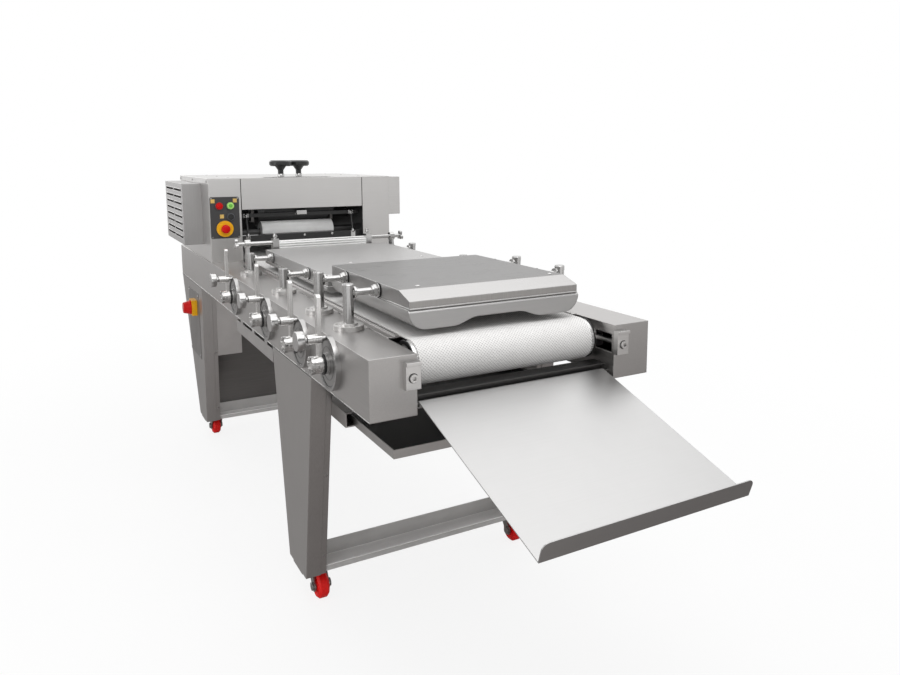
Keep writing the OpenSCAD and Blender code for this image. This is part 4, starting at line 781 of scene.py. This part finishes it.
# Controls: three bare plates on the panel
PLATES = ((-345, 229), (-265, 230), (-314, 172))
PLATE_HALF, PLATE_OUT, PLATE_IN, PLATE_CUT = 7.2, 0.9, 0.1, 0.4
b = Build()
for x, z in PLATES:
    b.block((x - PLATE_HALF, PANEL_Y - PLATE_OUT, z - PLATE_HALF),
            (x + PLATE_HALF, PANEL_Y + PLATE_IN, z + PLATE_HALF), PLATE_CUT)
b.done("panel_plates", "frame", "plate")

# Controls: a lens in each lit button, a coloured bezel round each button, and the emergency stop's head
LENS = ((0, 0.2), (7.0, 0.2), (7.0, -0.5), (5.5, -0.9), (0, -1.0))
BEZEL = Ring(11.4, 13.2, near=0.2, far=-0.8, far_cut=(0.6, 0.5))
BEZEL_Y = corners("control_panel")[0][1]
BUTTONS = (("green", "green_lens", "green"), ("red", "red", "red"), ("black", None, "motor"))
for name, lens, bezel in BUTTONS:
    x, _, z = middle(f"{name}_button")
    if lens:
        b = Build()
        b.turned(LENS, "y", (x, corners(f"{name}_button")[0][1], z))
        b.done(f"{name}_lens", f"{name}_button", lens)
    b = Build()
    b.ring(BEZEL, "y", (x, BEZEL_Y, z))
    b.done(f"{name}_bezel", "frame", bezel)
STOP_CROWN = [(0, -27.0), (9.0, -26.8), (12.8, -25.8), (15.2, -23.8), (16.0, -21.0)]
STOP_SKIRT = [(16.0, -16.4), (15.2, -14.8), (13.8, -14.0)]
STOP_NECK = [(13.0, -14.0), (13.0, -5.6), (11.0, -5.6), (11.0, 17.0), (0, 17.0)]
STOP_X, _, STOP_Z = middle("stop_collar")
b = Build()
b.turned(STOP_CROWN + STOP_SKIRT + STOP_NECK, "y", (STOP_X, PANEL_Y, STOP_Z), steps=48)
head = b.done("stop_head", "stop_button", "red")
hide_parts("stop_button")

# Head: bright collars on the gap knobs, and screws on the scraper plate and the hood
KNOB_COLLAR = Ring(12.05, 13.8, near=0.4, far=11.8, near_cut=(0.8, 0.8), far_cut=(0.8, 1.2), steps=32)
PLATE_SCREW, PLATE_SCREW_XS, PLATE_SCREW_BACK, PLATE_SCREW_Z = (5.0, 2.5), (-105, 9, 123), 36, 84
HOOD_SCREW, HOOD_SCREW_X, HOOD_SCREW_YS = (5.0, 2.2), 265, (1664, 1876, 2090)
for name in ("left", "right"):
    b = Build()
    b.ring(KNOB_COLLAR, "z", HINGES[f"gap_knob_{name}_turn"])
    b.done(f"knob_collar_{name}", f"gap_knob_{name}", "steel_bright")
b = Build()
for x in PLATE_SCREW_XS:
    b.dome("y", (x, HEAD_Y + PLATE_SCREW_BACK, PLATE_SCREW_Z), *PLATE_SCREW, way=-1)
b.done("scraper_screws", "frame", "steel_bright")
b = Build()
for side in (-1, 1):
    for y in HOOD_SCREW_YS:
        b.dome("z", (HOOD_SCREW_X * side, y, HEAD_H), *HOOD_SCREW)
b.done("hood_screws", "frame", "steel_bright")

# Left guard: a lip over each louvre
(GUARD_X, _, GUARD_LOW), (_, _, GUARD_TOP) = corners("left_guard")
LOUVRE_ROWS, LOUVRE_MARGIN, LOUVRE_YS = 8, 26, (1731, 1926.5)
LOUVRE_PITCH = (GUARD_TOP - GUARD_LOW - 2 * LOUVRE_MARGIN) / (LOUVRE_ROWS - 1)
LOUVRE_LIP = ((0.2, 7.5), (-0.9, 6.4), (-1.4, 4.9), (-1.0, 4.0), (0.2, 4.0))
LIP_BEFORE, LIP_AFTER = 1, 182.5
b = Build()
for row in range(LOUVRE_ROWS):
    z = GUARD_TOP - LOUVRE_MARGIN - row * LOUVRE_PITCH
    for y in LOUVRE_YS:
        b.prism([(GUARD_X + u, z + v) for u, v in LOUVRE_LIP], "y", y - LIP_BEFORE, y + LIP_AFTER)
b.done("louvre_lips", "frame", "steel_guard", LOUVRE_ANGLE)

# Drums: a black ring on each end. Belt tensioners: a dark ring round each screw
DRUM_RING = Ring(40, 49.6, near=236.8, far=239.2, far_cut=(0.8, 0.8), steps=64)
TENSION_RING = Ring(9.1, 10.4, near=-14.8, far=-15.4)
TENSION_X = 271
for body, y in (("front_drum", DRUM_Y), ("rear_drum", REAR_DRUM_Y)):
    b = Build()
    for side in (-1, 1):
        b.ring(DRUM_RING, "x", (0, y, DRUM_Z), side)
    b.done(f"{body}_rings", body, "ink")
b = Build()
for side in (-1, 1):
    b.ring(TENSION_RING, "y", (side * TENSION_X, 0, DRUM_Z))
b.done("tension_rings", "frame", "ink")

# Curl bar: a wing screw on each clamp, and a black strip below the profile that is a painted shadow in the
# gap there
CLAMP_OUT = 11
CLAMP_SCREW = ((0, 13.5), (5.0, 13.5), (5.0, 19.0), (7.5, 20.0), (7.5, 25.0), (5.5, 27.0), (0, 27.0))
WING = ((4, 20), (9, 21), (15, 26), (15, 32), (11, 33), (6, 26))
WING_HALF = 1.6
CURL_SHADOW = ((-4, 56), (-1, 56), (1, 47), (-2.4, 39), (-4.2, 39), (-1.4, 47))
CURL_SHADOW_HALF = 158
b = Build()
for side in (-1, 1):
    x = side * (CURL_HALF + CLAMP_OUT)
    b.turned(CLAMP_SCREW, "z", (x, CURL_Y, CURL_Z), steps=24)
    for way in (-1, 1):
        b.prism([(CURL_Y + way * u, CURL_Z + v) for u, v in WING], "x", x - WING_HALF, x + WING_HALF)
b.done("clamp_screws", "frame", "steel_bright")
b = Build()
b.prism([(CURL_Y + u, v) for u, v in CURL_SHADOW], "x", -CURL_SHADOW_HALF, CURL_SHADOW_HALF)
b.done("curl_painted_shadow", "frame", "black")

# Main switch: tapered handle with a pale mark
SWITCH_X, HANDLE_X = corners("switch_base")[0][0], corners("switch_handle")[0][0]
HANDLE = ((0, -0.3), (29.6, -0.3), (29.6, -4.8), (28.2, -6.2), (22.6, -28.0), (20.6, -30.2), (0, -30.2))
MARK_HALF, MARK_LOW, MARK_HIGH, MARK_CUT = 1.4, -2, 15, 0.05
b = Build()
b.turned(HANDLE, "x", (SWITCH_X, SWITCH_Y, SWITCH_Z), steps=40)
knob = b.done("switch_knob", "switch_handle", "red")
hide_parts("switch_handle")
b = Build()
b.block((HANDLE_X, SWITCH_Y - MARK_HALF, SWITCH_Z + MARK_LOW),
        (HANDLE_X + SINK, SWITCH_Y + MARK_HALF, SWITCH_Z + MARK_HIGH), MARK_CUT)
b.done("switch_mark", "switch_handle", "mark")

# Crossmembers: a near-white sheet in the channel, a rolled edge on the front lip and a bead along the rear
# fold, all in a pale finish that is painted light
CROSS_SHEET, CROSS_END = 3, LEG_IN - 0.5
PALE_LOW, PALE_HIGH, PALE_IN, PALE_CUT = 2.8, 4.6, 3.2, 0.4
ROLL_DOWN, ROLL_UP, ROLL_OUT, ROLL_CUT = 1.4, 0.9, 0.7, 0.5
BEAD = ((0.2, 2.8), (0.2, 6.4), (-1.4, 5.6), (-2.6, 4.4), (-3.4, 2.8))
b = Build()
for y in CROSSES:
    b.block((-CROSS_END, y + PALE_IN, FOOT_Z + PALE_LOW),
            (CROSS_END, y + CROSS_L - PALE_IN, FOOT_Z + PALE_HIGH), PALE_CUT)
    lip = FOOT_Z + CROSS_LIP
    b.block((-CROSS_END, y - ROLL_OUT, lip - ROLL_DOWN),
            (CROSS_END, y + CROSS_SHEET + ROLL_OUT, lip + ROLL_UP), ROLL_CUT)
    fold = y + CROSS_L - CROSS_SHEET
    b.prism([(fold + u, FOOT_Z + v) for u, v in BEAD], "x", -CROSS_END, CROSS_END)
b.done("cross_painted_light", "frame", "steel_painted_light")

# Electrical box: a dark seam round the hatch, and a screw in each of its corners
HATCH_X = corners("electrical_box")[0][0]
GAP_W, GAP_OUT, GAP_CUT = 1.6, 0.5, 0.2
HATCH_SCREW, HATCH_INSET = (4.5, 2.2), 12
gap_low, gap_top = HATCH_LOW - GAP_W, HATCH_TOP + GAP_W
front_gap = ((HATCH_Y - GAP_W, gap_low), (HATCH_Y, gap_top))
rear_gap = ((HATCH_END, gap_low), (HATCH_END + GAP_W, gap_top))
lower_gap = ((HATCH_Y, gap_low), (HATCH_END, HATCH_LOW))
upper_gap = ((HATCH_Y, HATCH_TOP), (HATCH_END, gap_top))
b = Build()
for low, high in (front_gap, rear_gap, lower_gap, upper_gap):
    b.block((-HALF - GAP_OUT, *low), (-HALF + SINK, *high), GAP_CUT)
b.done("hatch_seam", "frame", "dark")
b = Build()
for y in (HATCH_Y + HATCH_INSET, HATCH_END - HATCH_INSET):
    for z in (HATCH_LOW + HATCH_INSET, HATCH_TOP - HATCH_INSET):
        b.dome("x", (HATCH_X, y, z), *HATCH_SCREW, way=-1)
b.done("hatch_screws", "frame", "steel_bright")

# Gear motor: cooling fins
MOTOR_Y, MOTOR_Z = 2085, -222
FIN = ((66, -1.8), (74, -1.2), (74, 1.2), (66, 1.8))
FINS, FIN_X, FIN_PITCH = 10, -110, 20
b = Build()
for i in range(FINS):
    b.turned(FIN, "x", (FIN_X + i * FIN_PITCH, MOTOR_Y, MOTOR_Z), steps=48, closed=True)
b.done("motor_fins", "frame", "motor")

# Castors: a nut on each end of the axle
AXLE_NUT = Ring(0, 12.2, near=20.8, far=26.2, far_cut=(1.2, 1.0), steps=6)
for k in range(1, 5):
    b = Build()
    for way in (-1, 1):
        b.ring(AXLE_NUT, "x", HINGES[f"castor_roll_{k}"], way)
    b.done(f"axle_nuts_{k}", f"castor_fork_{k}", "zinc", NUT_ANGLE)


# Floor, surroundings and lamps, in metres
def floor_material():
    """Pale floor that keeps the part's shadow and fades to white away from it."""
    reach_x, reach_y, fade, near_white = 0.45, 1.35, 2.0, 0.86
    s = Shade("floor_pale")
    s.set(Base_Color=s.ramp(s.noise(3.0, rough=0.5), (0.3, grey(0.82)), (0.7, grey(0.86))), Roughness=0.8)
    x, y, _ = s.axes()
    past = []
    for axis, reach in ((x, reach_x), (y, reach_y)):
        past.append(s.math("MAXIMUM", s.math("SUBTRACT", s.math("ABSOLUTE", axis), reach), 0.0))
    white = s.math("MULTIPLY", s.seen(), s.span(s.math("ADD", *past), near_white, 1.0, 0.0, fade))
    s.blend(white, s.bsdf, s.node("ShaderNodeEmission"), s.out)
    return s.mat


def stage_plane(name, low, high, height, material):
    (x0, y0), (x1, y1) = low, high
    ring = [(x, y, height) for x, y in ((x0, y0), (x1, y0), (x1, y1), (x0, y1))]
    mesh = bpy.data.meshes.new(name)
    mesh.from_pydata(ring, [], [(0, 1, 2, 3)])
    mesh.materials.append(material)
    obj = bpy.data.objects.new(name, mesh)
    SCENE.collection.objects.link(obj)
    return obj


def card(name, low, high, lean, stops):
    """Studio card just above the floor that only reflections show."""
    height = 0.002
    s = Shade(name)
    x, y, _ = s.axes()
    place = s.math("ADD", y, s.math("MULTIPLY", x, lean))
    glow = s.node("ShaderNodeEmission")
    s.link(s.ramp(s.span(place, 0.0, 1.0, low[1], high[1]), *stops), glow.inputs["Color"])
    s.link(glow.outputs[0], s.out.inputs["Surface"])
    obj = stage_plane(name, low, high, height, s.mat)
    obj.visible_camera = False
    obj.visible_diffuse = False
    obj.visible_shadow = False
    obj.visible_transmission = False


def surroundings():
    """White room for the camera and for reflections, grey high up in front, and a dimmer light."""
    world = bpy.data.worlds.new("studio")
    SCENE.world = world
    n = Nodes(world, "Generated")
    _, along, up = n.axes()
    patch = n.math("MULTIPLY", n.span(along, 0.0, 1.0, -0.15, -0.6), n.span(up, 0.0, 1.0, 0.12, 0.4))
    shown = n.node("ShaderNodeBackground")
    shown.inputs["Strength"].default_value = 1.0
    n.link(n.mix(patch, grey(1.0), grey(0.22)), shown.inputs["Color"])
    lit = n.node("ShaderNodeBackground")
    lit.inputs["Color"].default_value = (*grey(1.0), 1)
    lit.inputs["Strength"].default_value = 0.6
    n.blend(n.seen(), lit, shown, n.node("ShaderNodeOutputWorld"))


def lamp(name, place, target, size, power):
    data = bpy.data.lights.new(name, "AREA")
    data.shape = "RECTANGLE"
    data.size, data.size_y = size
    data.energy = power
    obj = bpy.data.objects.new(name, data)
    obj.location = place
    obj.rotation_euler = (Vector(target) - Vector(place)).to_track_quat("-Z", "Y").to_euler()
    obj.visible_camera = False
    SCENE.collection.objects.link(obj)


stage_plane("floor", low=(-25, -25), high=(25, 25), height=0, material=floor_material())
card("card_front", low=(-HALF / 1000, -6), high=(5, 1.6), lean=0.6,
     stops=[(0.0, (1.0, 0.99, 0.98)), (0.434, (0.95, 0.93, 0.92)), (0.559, (0.33, 0.31, 0.30)),
            (0.618, (0.21, 0.195, 0.19)), (1.0, (0.20, 0.185, 0.18))])
card("card_left", low=(-8, -3), high=(-HALF / 1000, 10), lean=0.0,
     stops=[(0.0, (0.42, 0.41, 0.405)), (1.0, (0.48, 0.47, 0.465))])
surroundings()
lamp("top", place=(1.4, 0.6, 4.1), target=(1.4, 0.6, 0), size=(6.0, 6.5), power=105)
lamp("head", place=(-0.3, -1.6, 2.7), target=(0, 0.65, 0.95), size=(2.4, 1.6), power=22)
lamp("left", place=(-5.2, -0.6, 2.0), target=(0, 0, 0.8), size=(2.0, 2.4), power=36)
lamp("edge", place=(-2.2, 7.0, 3.2), target=(-0.2, 0, 0.8), size=(3.0, 3.0), power=45)
